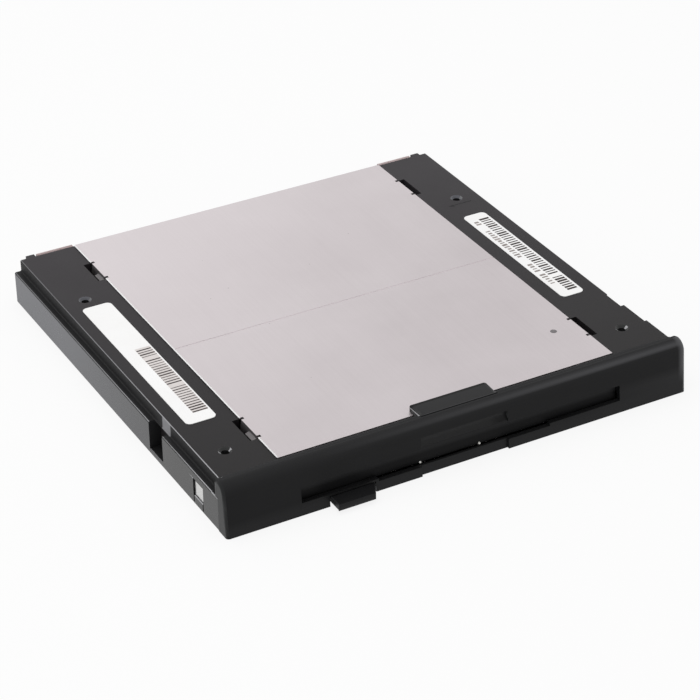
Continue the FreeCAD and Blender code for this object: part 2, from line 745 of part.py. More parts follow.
def bezel():
    """Moulded front with a leaning face and a round crown."""
    body = bezel_profile().extrude(V(2 * HALF_W, 0, 0))
    body.translate(V(-HALF_W, 0, 0))
    ends = [e for e in body.Edges if e.BoundBox.XLength < 0.01 and e.BoundBox.ZMax > 1]
    rim = [e for e in ends if e.BoundBox.YMin < CROWN_Y + 0.01]
    body = body.makeFillet(BEZEL_ROUND, rim)
    body = body.cut(bezel_hollow())
    tab = grip_tab()
    x0 = GRIP_X - GRIP_W / 2
    groove = block(x0, x0 + GRIP_W, CROWN_Y, CROWN_Y + GRIP_GROOVE, CROWN_Z - GRIP_GROOVE, CROWN_Z + 1)
    body = fused([body, tab] + flap_bosses()).cut(groove)
    return body.cut(Part.makeCompound(bezel_openings()))


def dust_flap():
    """Flap that hangs behind the slot on two pins."""
    z = FLAP_PIVOT_Z
    y = flap_pivot()
    low = FLAP_Y + front_y(FLAP_LOW)
    half = FLAP_T / 2
    x = SLOT_W / 2 - FLAP_END_GAP
    plate = across([(low - half, FLAP_LOW), (low + half, FLAP_LOW), (y + half, z), (y - half, z)], -x, x)
    top = rod(half, V(-x, y, z), V(x, y, z))
    pin = rod(FLAP_PIN_R, V(-x - FLAP_PIN_L, y, z), V(x + FLAP_PIN_L, y, z))
    return fused([plate, top, pin])


def label(inset, width, y0, length):
    """Paper label with rounded corners on the right flange."""
    x1 = UPPER_X - inset
    return rounded(x1 - width, x1, y0, y0 + length, FLANGE_TOP, FLANGE_TOP + LABEL_T, LABEL_ROUND)


def rear_film():
    """Amber film on the ledges behind the flanges."""
    strip = film_strip(FLANGE_END, FILM_Z, FILM_Z + FILM_T)
    return Part.makeCompound([strip, mirrored(strip)])


def latch_plate():
    """Bright steel plate behind the left rail, with a pad that fills the rail's window."""
    x = -HALF_W + RAIL_WALL
    y0 = WINDOW_Y0 - LATCH_OVER
    y1 = WINDOW_Y1 + LATCH_OVER
    back = block(x, x + LATCH_T, y0, y1, LATCH_Z, RAIL_TOP - RAIL_WALL)
    z1 = WINDOW_Z1 - LATCH_TOP_GAP
    pad = block(-HALF_W + LATCH_IN, x + LATCH_T, WINDOW_Y0 + LATCH_PLAY, WINDOW_Y1 - LATCH_PLAY,
                WINDOW_Z0 + LATCH_PLAY, z1)
    return fused([back, pad])


def bead(x):
    """Stiffening bead with bevelled sides along the lower cover."""
    half = BEAD_W / 2
    flat = half - BEAD_H
    low = LOWER_Z - BEAD_H
    outline = [(x - half, LOWER_Z), (x - flat, low), (x + flat, low), (x + half, LOWER_Z)]
    return along(outline, LOWER_Y0 + BEAD_INSET, RAIL_Y1 - BEAD_INSET)


def lower_cover():
    """Thin cover sheet below the mechanism with stiffening beads and a gap for the button."""
    x = RAIL_OUT
    sheet = block(-x, x, LOWER_Y0, RAIL_Y1, LOWER_Z, LOWER_TOP)
    x0 = BUTTON_X0 - BUTTON_PLAY
    x1 = BUTTON_X1 + BUTTON_PLAY
    gap = block(x0, x1, LOWER_Y0 - 1, BUTTON_BACK + EJECT_TRAVEL + BUTTON_PLAY, 0, LOWER_TOP + 1)
    return fused([sheet.cut(gap)] + [bead(x) for x in (-BEAD_PITCH, 0, BEAD_PITCH)])


def chassis_rail():
    """Right chassis rail: upright wall with slots for the cage pins, lip under the base plate."""
    x1 = RAIL_OUT
    outline = [(RAIL_IN, LOWER_TOP), (x1, LOWER_TOP), (x1, PLATE_Z), (x1 - RAIL_LIP, PLATE_Z),
               (x1 - RAIL_LIP, PLATE_Z - RAIL_T), (RAIL_IN, PLATE_Z - RAIL_T)]
    wall = along(outline, RAIL_Y0, RAIL_Y1)
    low = PIN_Z - LOAD_TRAVEL - PIN_R - PIN_PLAY
    half = PIN_R + PIN_PLAY
    slots = [block(RAIL_IN - 1, x1 + 1, y - half, y + half, low, PIN_Z + half) for y in (PIN_Y0, PIN_Y1)]
    return wall.cut(Part.makeCompound(slots))


def lever_slot():
    """Curved slot in the cage along the path of the lever's nose."""
    start = math.atan2(LEVER_LIFT, -LEVER_REACH)
    reach = math.hypot(LEVER_REACH, LEVER_LIFT)
    half = NOSE_R + NOSE_PLAY
    sweep = math.radians(LEVER_SWING)
    centre = V(LEVER_X, LEVER_Y, CAGE_Z0 - 1)
    path = Part.makeCylinder(reach + half, CAGE_T + 2, centre, V(0, 0, 1), LEVER_SWING)
    path = path.cut(Part.makeCylinder(reach - half, CAGE_T + 2, centre))
    path.rotate(centre, V(0, 0, 1), math.degrees(start))
    spots = [centre + V(math.cos(a), math.sin(a), 0) * reach for a in (start, start + sweep)]
    return path.multiFuse([Part.makeCylinder(half, CAGE_T + 2, spot) for spot in spots])


def disk_cage():
    """Sheet cage that takes the disk: plate below, side walls and lips, four lifting pins."""
    lip_top = CAGE_LIP_Z + CAGE_T
    inner = CAGE_X - CAGE_LIP
    half = [(0, CAGE_Z0), (CAGE_OUT, CAGE_Z0), (CAGE_OUT, lip_top), (inner, lip_top), (inner, CAGE_LIP_Z),
            (CAGE_X, CAGE_LIP_Z), (CAGE_X, CAGE_Z1), (0, CAGE_Z1)]
    right = along(half, CAGE_Y0, CAGE_Y1)
    cage = right.fuse(mirrored(right)).removeSplitter()
    gap = block(-HEAD_SLOT_W / 2, HEAD_SLOT_W / 2, HEAD_SLOT_Y, CAGE_Y1 + 1, CAGE_Z0 - 1, CAGE_Z1 + 1)
    x1 = CAGE_X - CAGE_HOLE_INSET
    window = block(x1 - CAGE_HOLE_W, x1, CAGE_HOLE_Y0, CAGE_HOLE_Y1, CAGE_Z0 - 1, CAGE_Z1 + 1)
    bore = rod(PIVOT_R, V(LEVER_X, LEVER_Y, CAGE_Z0 - 1), V(LEVER_X, LEVER_Y, CAGE_Z1 + 1))
    cage = cage.cut(Part.makeCompound([gap, bore, window, mirrored(window)])).cut(lever_slot())
    reach = RAIL_OUT - PIN_PLAY
    pins = [rod(PIN_R, V(CAGE_X, y, PIN_Z), V(reach, y, PIN_Z)) for y in (PIN_Y0, PIN_Y1)]
    return fused([cage] + pins + [mirrored(pin) for pin in pins])


def slanted_slot(y):
    """Slot in the eject plate's wall that lifts a cage pin as the plate slides."""
    half = PIN_R + PIN_PLAY
    rise = LOAD_TRAVEL
    run = EJECT_TRAVEL
    length = math.hypot(run, rise)
    ny = -rise / length * half
    nz = run / length * half
    low = (y - run, PIN_Z - rise)
    high = (y, PIN_Z)
    band = across([(low[0] + ny, low[1] + nz), (low[0] - ny, low[1] - nz), (high[0] - ny, high[1] - nz),
                   (high[0] + ny, high[1] + nz)], EJECT_IN_X - 1, EJECT_X + 1)
    ends = [rod(half, V(EJECT_IN_X - 1, a, b), V(EJECT_X + 1, a, b)) for a, b in (low, high)]
    return band.multiFuse(ends)


def tongue(end):
    """Tongue of the eject plate inside the button, up to a depth."""
    x = (BUTTON_X0 + BUTTON_X1) / 2
    half = TONGUE_W / 2
    return block(x - half, x + half, BUTTON_BACK - TONGUE_IN, end, EJECT_Z, EJECT_TOP)


def eject_plate():
    """Sliding sheet with two walls, slanted slots and a tongue for the button."""
    sheet = block(-EJECT_X, EJECT_X, EJECT_Y0, EJECT_Y1, EJECT_Z, EJECT_TOP)
    half = HEAD_SLOT_W / 2 + 1
    gap = block(-half, half, HEAD_SLOT_Y - EJECT_TRAVEL, EJECT_Y1 + 1, EJECT_Z - 1, EJECT_TOP + 1)
    x0 = LIGHTEN_X - LIGHTEN_W / 2
    x1 = LIGHTEN_X + LIGHTEN_W / 2
    holes = [block(x0, x1, y, y + LIGHTEN_L, EJECT_Z - 1, EJECT_TOP + 1) for y in (LIGHTEN_Y0, LIGHTEN_Y1)]
    sheet = sheet.cut(Part.makeCompound([gap] + holes + [mirrored(hole) for hole in holes]))
    edge = block(EJECT_IN_X, EJECT_X, EJECT_Y0, EJECT_Y1, EJECT_Z, EJECT_TOP + EJECT_WALL_H)
    walls = [edge]
    for y in (PIN_Y0, PIN_Y1):
        mid = y - EJECT_TRAVEL / 2
        walls.append(block(EJECT_IN_X, EJECT_X, mid - LOBE_L / 2, mid + LOBE_L / 2, EJECT_Z, LOBE_TOP))
    wall = fused(walls).cut(slanted_slot(PIN_Y0)).cut(slanted_slot(PIN_Y1))
    return fused([sheet, tongue(EJECT_Y0 + 1), wall, mirrored(wall)])


def eject_button():
    """Push button with one slanted side, on the tongue of the eject plate."""
    outline = [(BUTTON_X0, -BUTTON_OUT), (BUTTON_X1 - BUTTON_SLANT, -BUTTON_OUT), (BUTTON_X1, 0),
               (BUTTON_X1, BUTTON_BACK), (BUTTON_X0, BUTTON_BACK)]
    body = upward(outline, BUTTON_Z0, BUTTON_Z1)
    front = [e for e in body.Edges if e.BoundBox.YMax < 0.01 - BUTTON_OUT]
    body = body.makeFillet(BUTTON_ROUND, front)
    return body.cut(tongue(BUTTON_BACK + 1))


def trigger_lever():
    """Flat lever below the cage whose nose stands in the path of the disk."""
    nose = V(LEVER_X - LEVER_REACH, LEVER_Y + LEVER_LIFT, LEVER_Z)
    pivot = V(LEVER_X, LEVER_Y, LEVER_Z)
    up = V(0, 0, LEVER_T)
    wide = LEVER_W / 2
    slim = NOSE_R * 0.9
    near = (pivot.x, pivot.y - wide)
    far = (pivot.x, pivot.y + wide)
    end = pivot.x + TAIL_L
    arm = upward([near, (nose.x, nose.y - slim), (nose.x, nose.y + slim), far], LEVER_Z, LEVER_TOP)
    tail = upward([near, (end, pivot.y - TAIL_W / 2), (end, pivot.y + TAIL_W / 2), far], LEVER_Z, LEVER_TOP)
    pin = rod(NOSE_R, nose, nose + V(0, 0, LEVER_T + NOSE_H))
    body = fused([arm, tail, rod(wide, pivot, pivot + up), pin])
    return body.cut(rod(PIVOT_R + PIVOT_PLAY, pivot - up, pivot + up * 2))


def lever_pivot():
    """Rivet of the lever, set in the cage."""
    shank = rod(PIVOT_R, V(LEVER_X, LEVER_Y, LEVER_Z), V(LEVER_X, LEVER_Y, CAGE_Z1))
    head = rod(PIVOT_HEAD_R, V(LEVER_X, LEVER_Y, LEVER_Z - PIVOT_HEAD_T), V(LEVER_X, LEVER_Y, LEVER_Z))
    return fused([shank, head])


def ring(r0, r1, z0, z1):
    """Flat ring about the spindle's axis."""
    return turned([(r0, z0), (r1, z0), (r1, z1), (r0, z1)], 0, SPINDLE_Y)


def spindle_hub():
    """Chuck disc with its tip, boss and shaft."""
    top = HUB_Z1 + HUB_BOSS_T
    end = PLATE_Z - BEARING_GAP
    tip = [(0, TIP_Z), (TIP_R, TIP_Z), (TIP_R, HUB_Z0)]
    disc = [(HUB_R, HUB_Z0), (HUB_R, HUB_Z1), (HUB_BOSS_R, HUB_Z1), (HUB_BOSS_R, top)]
    shaft = [(SPINDLE_R, top), (SPINDLE_R, end), (0, end)]
    return turned(tip + disc + shaft, 0, SPINDLE_Y)


def rotor_cup():
    """Flat steel cup around the motor."""
    disc = HUB_Z1 + ROTOR_T
    outline = [(HUB_BOSS_R, HUB_Z1), (ROTOR_R, HUB_Z1), (ROTOR_R, ROTOR_Z1), (ROTOR_R - ROTOR_T, ROTOR_Z1),
               (ROTOR_R - ROTOR_T, disc), (HUB_BOSS_R, disc)]
    return turned(outline, 0, SPINDLE_Y)


def rotor_magnet():
    """Magnet ring inside the rim of the cup."""
    r1 = ROTOR_R - ROTOR_T
    disc = HUB_Z1 + ROTOR_T
    return ring(r1 - MAGNET_T, r1, disc, ROTOR_Z1)


def drive_pin():
    """Pin on the chuck that catches the disk's hub."""
    x = DRIVE_PIN_OFF
    return rod(DRIVE_PIN_R, V(x, SPINDLE_Y, HUB_Z0 - DRIVE_PIN_H), V(x, SPINDLE_Y, HUB_Z0))


def spindle_bearing():
    """Sleeve bearing seated on the base plate."""
    low = HUB_Z1 + HUB_BOSS_T + BEARING_GAP
    r0 = SPINDLE_R + BEARING_PLAY
    return ring(r0, BEARING_R, low, PLATE_Z)


def core_radii():
    """Radii of the core: outside of its yoke, and its flat shoes an air gap inside the magnet ring."""
    corner = ROTOR_R - ROTOR_T - MAGNET_T - AIR_GAP
    reach = math.sqrt(corner * corner - SHOE_W * SHOE_W / 4)
    return reach - SHOE_T - TOOTH_L, reach


def stator_levels():
    """Lower and upper height of the toothed core between the rotor disc and the board."""
    low = HUB_Z1 + ROTOR_T + STATOR_GAP + COIL_T
    return low, low + CORE_T


def around(tooth):
    """Copies of a tooth's shape, one for each tooth about the spindle's axis."""
    copies = []
    for i in range(TEETH):
        copy = tooth.copy()
        copy.rotate(V(0, 0, 0), V(0, 0, 1), 360.0 * i / TEETH)
        copy.translate(V(0, SPINDLE_Y, 0))
        copies.append(copy)
    return copies


def stator_core():
    """Toothed ring with shoes that face the magnet, standing on the board."""
    low, high = stator_levels()
    yoke_r, r1 = core_radii()
    r0 = yoke_r - YOKE_T / 2
    yoke = ring(yoke_r - YOKE_T, yoke_r, low, BOARD_Z)
    half = TOOTH_W / 2
    wide = SHOE_W / 2
    outline = [(r0, -half), (r1 - SHOE_T, -half), (r1 - SHOE_T, -wide), (r1, -wide),
               (r1, wide), (r1 - SHOE_T, wide), (r1 - SHOE_T, half), (r0, half)]
    teeth = around(upward(outline, low, high))
    return fused([yoke] + teeth)


def stator_coils():
    """Winding around each tooth."""
    low, high = stator_levels()
    yoke_r, reach = core_radii()
    x0 = yoke_r + COIL_T
    x1 = reach - SHOE_T - COIL_T
    half = TOOTH_W / 2
    coil = block(x0, x1, -half - COIL_T, half + COIL_T, low - COIL_T, high + COIL_T)
    coil = coil.cut(block(x0 - 1, x1 + 1, -half, half, low, high))
    return Part.makeCompound(around(coil))


def motor_board():
    """Circuit board of the spindle motor, flat on the base plate."""
    board = block(-BOARD_X, BOARD_X, BOARD_Y0, BOARD_Y1, BOARD_Z, PLATE_Z)
    return board.cut(rod(BEARING_R, V(0, SPINDLE_Y, BOARD_Z - 1), V(0, SPINDLE_Y, PLATE_Z + 1)))


def board_chips():
    """Chips on the motor board, clear of the rotor."""
    x = BOARD_X - CHIP_INSET
    low = BOARD_Z - CHIP_T
    driver = block(x - DRIVER_CHIP, x, CHIP_Y, CHIP_Y + DRIVER_CHIP, low, BOARD_Z)
    logic = block(-x, LOGIC_CHIP - x, CHIP_Y, CHIP_Y + LOGIC_CHIP, low, BOARD_Z)
    return Part.makeCompound([driver, logic])


def media_switches():
    """Three switches that feel the disk's holes and edge."""
    y0 = BOARD_Y0 + SWITCH_INSET
    edge = CAGE_X - CAGE_LIP - SWITCH_INSET
    starts = (-edge, edge - SWITCH_W, edge - SWITCH_W - SWITCH_PITCH)
    low = BOARD_Z - SWITCH_H
    return Part.makeCompound([block(x, x + SWITCH_W, y0, y0 + SWITCH_L, low, BOARD_Z) for x in starts])


def guide_rod():
    """Ground rod that carries the head carriage."""
    return rod(ROD_R, V(ROD_X, ROD_Y0, ROD_Z), V(ROD_X, ROD_Y1, ROD_Z))


def rod_clamps():
    """Two clamps that hold the rod's ends under the base plate."""
    half = CLAMP_W / 2
    low = ROD_Z - ROD_R - CLAMP_T
    axis = rod(ROD_R, V(ROD_X, 0, ROD_Z), V(ROD_X, FLANGE_END, ROD_Z))
    clamps = [block(ROD_X - half, ROD_X + half, y, y + CLAMP_L, low, PLATE_Z).cut(axis)
              for y in (ROD_Y0, ROD_Y1 - CLAMP_L)]
    return Part.makeCompound(clamps)


def head_carriage():
    """Carriage on the guide rod with a nut finger at the lead screw and a post for the arm."""
    y0 = HEAD_Y - CARRIAGE_FRONT
    y1 = y0 + CARRIAGE_L
    top = CARRIAGE_Z0 + CARRIAGE_T
    half = SLEEVE_W / 2
    nose = [(CARRIAGE_X0, y0 + CARRIAGE_TAPER), (-HEAD_W, y0), (HEAD_W, y0), (ROD_X, y0 + CARRIAGE_TAPER)]
    deck = upward(nose + [(ROD_X, y1), (CARRIAGE_X0, y1)], CARRIAGE_Z0, top)
    low = ROD_Z - ROD_R - SLEEVE_T
    sleeve = block(ROD_X - half, ROD_X + half, y0 + CARRIAGE_TAPER, y1, low, PLATE_Z - SLEEVE_GAP)
    post = block(-POST_W / 2, POST_W / 2, POST_Y, POST_Y + POST_T, POST_Z0, top)
    reach = LEAD_X + LEAD_R + NUT_GAP
    finger = block(reach, CARRIAGE_X0 + 1, NUT_Y, NUT_Y + NUT_T, LEAD_Z - NUT_T, top)
    body = fused([deck, sleeve, post, finger])
    axis = rod(ROD_R + ROD_PLAY, V(ROD_X, y0 - 1, ROD_Z), V(ROD_X, y1 + 1, ROD_Z))
    hinge = rod(HINGE_R, V(-POST_W, HINGE_Y, ARM_HINGE_Z), V(POST_W, HINGE_Y, ARM_HINGE_Z))
    return body.cut(axis).cut(hinge)


def lower_head():
    """Read and write head fixed on the carriage."""
    half = HEAD_W / 2
    return block(-half, half, HEAD_Y - HEAD_L / 2, HEAD_Y + HEAD_L / 2, LOWER_HEAD_Z, CARRIAGE_Z0)


def arm_hinge_pin():
    """Hinge pin of the head arm, set in the carriage's post."""
    x = POST_W / 2 + ARM_EAR_GAP + ARM_EAR_T
    return rod(HINGE_R, V(-x, HINGE_Y, ARM_HINGE_Z), V(x, HINGE_Y, ARM_HINGE_Z))


def arm_height(y):
    """Middle height of the rising arm at a depth."""
    return ARM_HINGE_Z + ARM_RISE * (HINGE_Y - y) / (HINGE_Y - HEAD_Y)


def head_arm():
    """Hinged arm that rises from the post to the second head."""
    tip = HEAD_Y - ARM_TIP
    root = POST_Y - ARM_GAP
    x = POST_W / 2 + ARM_EAR_GAP
    half = ARM_T / 2
    plan = [(-x - ARM_EAR_T, root), (-ARM_TIP_W / 2, tip), (ARM_TIP_W / 2, tip), (x + ARM_EAR_T, root)]
    side = [(root, arm_height(root) - half), (tip, arm_height(tip) - half), (tip, arm_height(tip) + half),
            (root, arm_height(root) + half)]
    edge = x + ARM_EAR_T
    plate = across(side, -edge, edge).common(upward(plan, 0, PLATE_Z))
    toe = root - ARM_EAR_L
    heel = HINGE_Y + ARM_EAR_R
    high = ARM_HINGE_Z + ARM_EAR_R
    back = [(heel, ARM_HINGE_Z - ARM_EAR_R), (heel, high), (HINGE_Y, high)]
    ear = across(back + [(toe, arm_height(toe) + half), (toe, arm_height(toe) - half)], x, edge)
    bore = rod(HINGE_R + HINGE_PLAY, V(-edge - 1, HINGE_Y, ARM_HINGE_Z), V(edge + 1, HINGE_Y, ARM_HINGE_Z))
    return fused([plate, ear, mirrored(ear)]).cut(bore)


def upper_head():
    """Head on the arm, its foot cut to the arm's slope."""
    y0 = HEAD_Y - UPPER_HEAD_L / 2
    y1 = HEAD_Y + UPPER_HEAD_L / 2
    half = ARM_T / 2
    foot = [(y1, arm_height(y1) + half), (y0, arm_height(y0) + half)]
    outline = foot + [(y0, UPPER_HEAD_Z), (y1, UPPER_HEAD_Z)]
    return across(outline, -HEAD_W / 2, HEAD_W / 2)


def lead_screw():
    """Lead screw from its front bearing to the motor."""
    return rod(LEAD_R, V(LEAD_X, BRACKET_FRONT_Y, LEAD_Z), V(LEAD_X, MOTOR_Y + SCREW_IN, LEAD_Z))


def screw_bore():
    """Space around the lead screw in its bearings."""
    radius = LEAD_R + LEAD_BUSH_PLAY
    end = MOTOR_Y + SCREW_IN + SCREW_END_GAP
    return rod(radius, V(LEAD_X, BRACKET_FRONT_Y - 1, LEAD_Z), V(LEAD_X, end, LEAD_Z))


def screw_bracket():
    """Bent strip that carries the lead screw's front end and the motor."""
    half = BRACKET_W / 2
    base = block(LEAD_X - half, LEAD_X + half, BRACKET_FRONT_Y, MOTOR_Y, PLATE_Z - BRACKET_T / 2, PLATE_Z)
    low = LEAD_Z - LEAD_R - LEAD_EYE
    front = block(LEAD_X - half, LEAD_X + half, BRACKET_FRONT_Y, BRACKET_FRONT_Y + BRACKET_T, low, PLATE_Z)
    back = block(LEAD_X - half, LEAD_X + half, MOTOR_Y - BRACKET_T, MOTOR_Y, LEAD_Z - MOTOR_R, PLATE_Z)
    return fused([base, front, back]).cut(screw_bore())


def stepper_motor():
    """Round motor can behind the bracket with a bush for the screw."""
    end = MOTOR_Y + MOTOR_L
    can = rod(MOTOR_R, V(LEAD_X, MOTOR_Y, LEAD_Z), V(LEAD_X, end, LEAD_Z))
    return can.cut(screw_bore())


def bay_connector():
    """Rear plug of the module with a wide mouth."""
    end = FLANGE_END + CONNECTOR_OUT
    body = block(CONNECTOR_X0, CONNECTOR_X1, end - CONNECTOR_L, end, CONNECTOR_Z0, CONNECTOR_Z1)
    mid = (CONNECTOR_Z0 + CONNECTOR_Z1) / 2
    mouth = block(CONNECTOR_X0 + MOUTH_RIM, CONNECTOR_X1 - MOUTH_RIM, end - MOUTH_DEPTH, end + 1,
                  mid - MOUTH_H / 2, mid + MOUTH_H / 2)
    return body.cut(mouth)


def connector_board():
    """Small board that carries the bay connector."""
    x0 = ROD_X + CLAMP_W / 2 + LINK_BOARD_GAP
    return block(x0, CONNECTOR_X1, BEAM_Y - LINK_BOARD_L, BEAM_Y, CONNECTOR_Z1, CONNECTOR_Z1 + BOARD_T)


def pieces():
    """Every piece by name."""
    rail = chassis_rail()
    return {
        "carrier_frame": carrier_frame(),
        "bezel": bezel(),
        "cover_plate": cover_plate(),
        "lower_cover": lower_cover(),
        "left_label": mirrored(label(LEFT_LABEL_INSET, LEFT_LABEL_W, LEFT_LABEL_Y0, LEFT_LABEL_L)),
        "right_label": label(RIGHT_LABEL_INSET, RIGHT_LABEL_W, RIGHT_LABEL_Y0, RIGHT_LABEL_L),
        "rear_film": rear_film(),
        "latch_plate": latch_plate(),
        "chassis_rail_right": rail,
        "chassis_rail_left": mirrored(rail),
        "motor_board": motor_board(),
        "board_chips": board_chips(),
        "media_switches": media_switches(),
        "stator_core": stator_core(),
        "stator_coils": stator_coils(),
        "spindle_bearing": spindle_bearing(),
        "stepper_motor": stepper_motor(),
        "screw_bracket": screw_bracket(),
        "guide_rod": guide_rod(),
        "rod_clamps": rod_clamps(),
        "bay_connector": bay_connector(),
        "connector_board": connector_board(),
        "dust_flap": dust_flap(),
        "eject_button": eject_button(),
        "eject_plate": eject_plate(),
        "disk_cage": disk_cage(),
        "lever_pivot": lever_pivot(),
        "trigger_lever": trigger_lever(),
        "spindle_hub": spindle_hub(),
        "rotor_cup": rotor_cup(),
        "rotor_magnet": rotor_magnet(),
        "drive_pin": drive_pin(),
        "lead_screw": lead_screw(),
        "head_carriage": head_carriage(),
        "lower_head": lower_head(),
        "arm_hinge_pin": arm_hinge_pin(),
        "head_arm": head_arm(),
        "upper_head": upper_head(),
    }


def main():
    """Build the pieces, set them on the part's origin and write them."""
    os.makedirs("parts", exist_ok=True)
    for name, shape in pieces().items():
        placed = shape.copy()
        placed.translate(V(0, -ORIGIN_Y, 0))
        placed.exportStep(os.path.join("parts", name + ".step"))
        print(name, "valid" if placed.isValid() else "INVALID", len(placed.Solids), round(placed.Volume, 2))


main()
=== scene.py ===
"""Looks of a slim floppy disk drive module, lying underside up on a pale floor.

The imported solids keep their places. The carrier, the bezel, the eject button and the cover sheet are shown by
dressed copies, with broken edges or with several finishes, and every other solid gets one finish. The printing on
the labels and the contacts of the plug are laid out by Geometry Nodes.
"""
import logging
import math
from dataclasses import dataclass
from enum import Enum, IntEnum

import bmesh
import bpy
from mathutils import Matrix, Vector


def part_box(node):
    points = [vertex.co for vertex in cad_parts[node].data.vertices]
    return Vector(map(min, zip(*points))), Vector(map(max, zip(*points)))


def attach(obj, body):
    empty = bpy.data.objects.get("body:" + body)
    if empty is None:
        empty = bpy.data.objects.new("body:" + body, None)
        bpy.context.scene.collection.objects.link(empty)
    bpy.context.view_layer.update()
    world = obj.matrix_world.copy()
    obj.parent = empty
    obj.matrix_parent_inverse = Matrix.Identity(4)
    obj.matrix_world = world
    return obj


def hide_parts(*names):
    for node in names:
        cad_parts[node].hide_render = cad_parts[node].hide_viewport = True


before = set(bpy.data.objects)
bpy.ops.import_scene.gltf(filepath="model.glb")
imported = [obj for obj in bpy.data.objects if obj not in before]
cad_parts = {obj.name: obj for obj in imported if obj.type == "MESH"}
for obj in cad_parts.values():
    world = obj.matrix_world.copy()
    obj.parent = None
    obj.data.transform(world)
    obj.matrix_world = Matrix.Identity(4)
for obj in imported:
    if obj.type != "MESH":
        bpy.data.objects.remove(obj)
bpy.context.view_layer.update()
LOG = logging.getLogger("floppy_drive")
MM = 0.001
WELD = 0.001 * MM
WHITE = (1, 1, 1, 1)
BLACK = (0, 0, 0, 1)
Spot = tuple[float, float]
Size = tuple[float, float, float]
Colour = tuple[float, float, float, float]
Tree = bpy.types.NodeTree
Socket = bpy.types.NodeSocket


def linear(colour: str) -> Colour:
    """Turns an sRGB hex colour into linear values.

    Args:
        colour: Six hex digits after a hash sign.

    Returns:
        Red, green, blue and an alpha of one.
    """
    parts = [int(colour[i:i + 2], 16) / 255 for i in (1, 3, 5)]
    red, green, blue = [p / 12.92 if p <= 0.04045 else ((p + 0.055) / 1.055) ** 2.4 for p in parts]
    return red, green, blue, 1.0


def in_metres(size_mm: tuple[float, ...]) -> tuple[float, ...]:
    """Turns a size or a place into metres.

    Args:
        size_mm: Its numbers in millimetres.

    Returns:
        The same numbers in metres.
    """
    return tuple(v * MM for v in size_mm)


def add(tree: Tree, kind: str, inputs: dict[str | int, object] | None = None, **settings: object) -> bpy.types.Node:
    """Adds a node to a tree, with its settings, values and links.

    Args:
        tree: Tree that gets the node.
        kind: Blender's name for the type of node.
        inputs: A value, or the output that feeds it, for each input by name or number.
        settings: Properties of the node itself.

    Returns:
        The new node.
    """
    node = tree.nodes.new(kind)
    for key, value in settings.items():
        setattr(node, key, value)
    for key, value in (inputs or {}).items():
        if isinstance(value, Socket):
            tree.links.new(value, node.inputs[key])
        else:
            node.inputs[key].default_value = value
    return node


def reckon(tree: Tree, operation: str, *values: Socket | float) -> Socket:
    """Adds a calculation to a tree.

    Args:
        tree: Tree that gets the node.
        operation: Blender's name for the calculation.
        values: Its numbers, or the outputs that feed them.

    Returns:
        The result.
    """
    return add(tree, "ShaderNodeMath", dict(enumerate(values)), operation=operation).outputs[0]


def ramp(tree: Tree, value: Socket, span: Spot = (0.0, 1.0), result: Spot = (0.0, 1.0)) -> Socket:
    """Maps a value evenly from one span to another, without leaving it.

    Args:
        tree: Tree that gets the node.
        value: The value.
        span: Where the ramp begins and ends.
        result: What it gives there.

    Returns:
        The mapped value.
    """
    return add(tree, "ShaderNodeMapRange", {
        "Value": value, "From Min": span[0], "From Max": span[1],
        "To Min": result[0], "To Max": result[1]}).outputs[0]


def blend(tree: Tree, share: Socket, under: Socket | Colour, over: Socket | Colour) -> Socket:
    """Lays one colour over another; the node's sockets go by number, because their names repeat.

    Args:
        tree: Tree that gets the node.
        share: Share of the upper colour, from 0 to 1.
        under: The lower colour.
        over: The upper colour.

    Returns:
        The mixed colour.
    """
    return add(tree, "ShaderNodeMix", {0: share, 6: under, 7: over}, data_type="RGBA").outputs[2]


class Axis(IntEnum):
    """Axes of the shared frame: across the drive, along it and up."""

    X = 0
    Y = 1
    Z = 2


class Surface(Enum):
    """How the fine texture of a finish lies on the piece, by its fineness along the three axes."""

    # Even grain in all directions.
    GRAINED = (1, 1, 1)
    # Fine streaks along the length.
    ROLLED = (1, 0.02, 1)
    # Fine streaks across the length.
    TURNED = (0.02, 1, 0.02)
    # Thin level layers.
    STACKED = (0.02, 0.02, 1)
    # Round strands side by side, as rings.
    WOUND = None


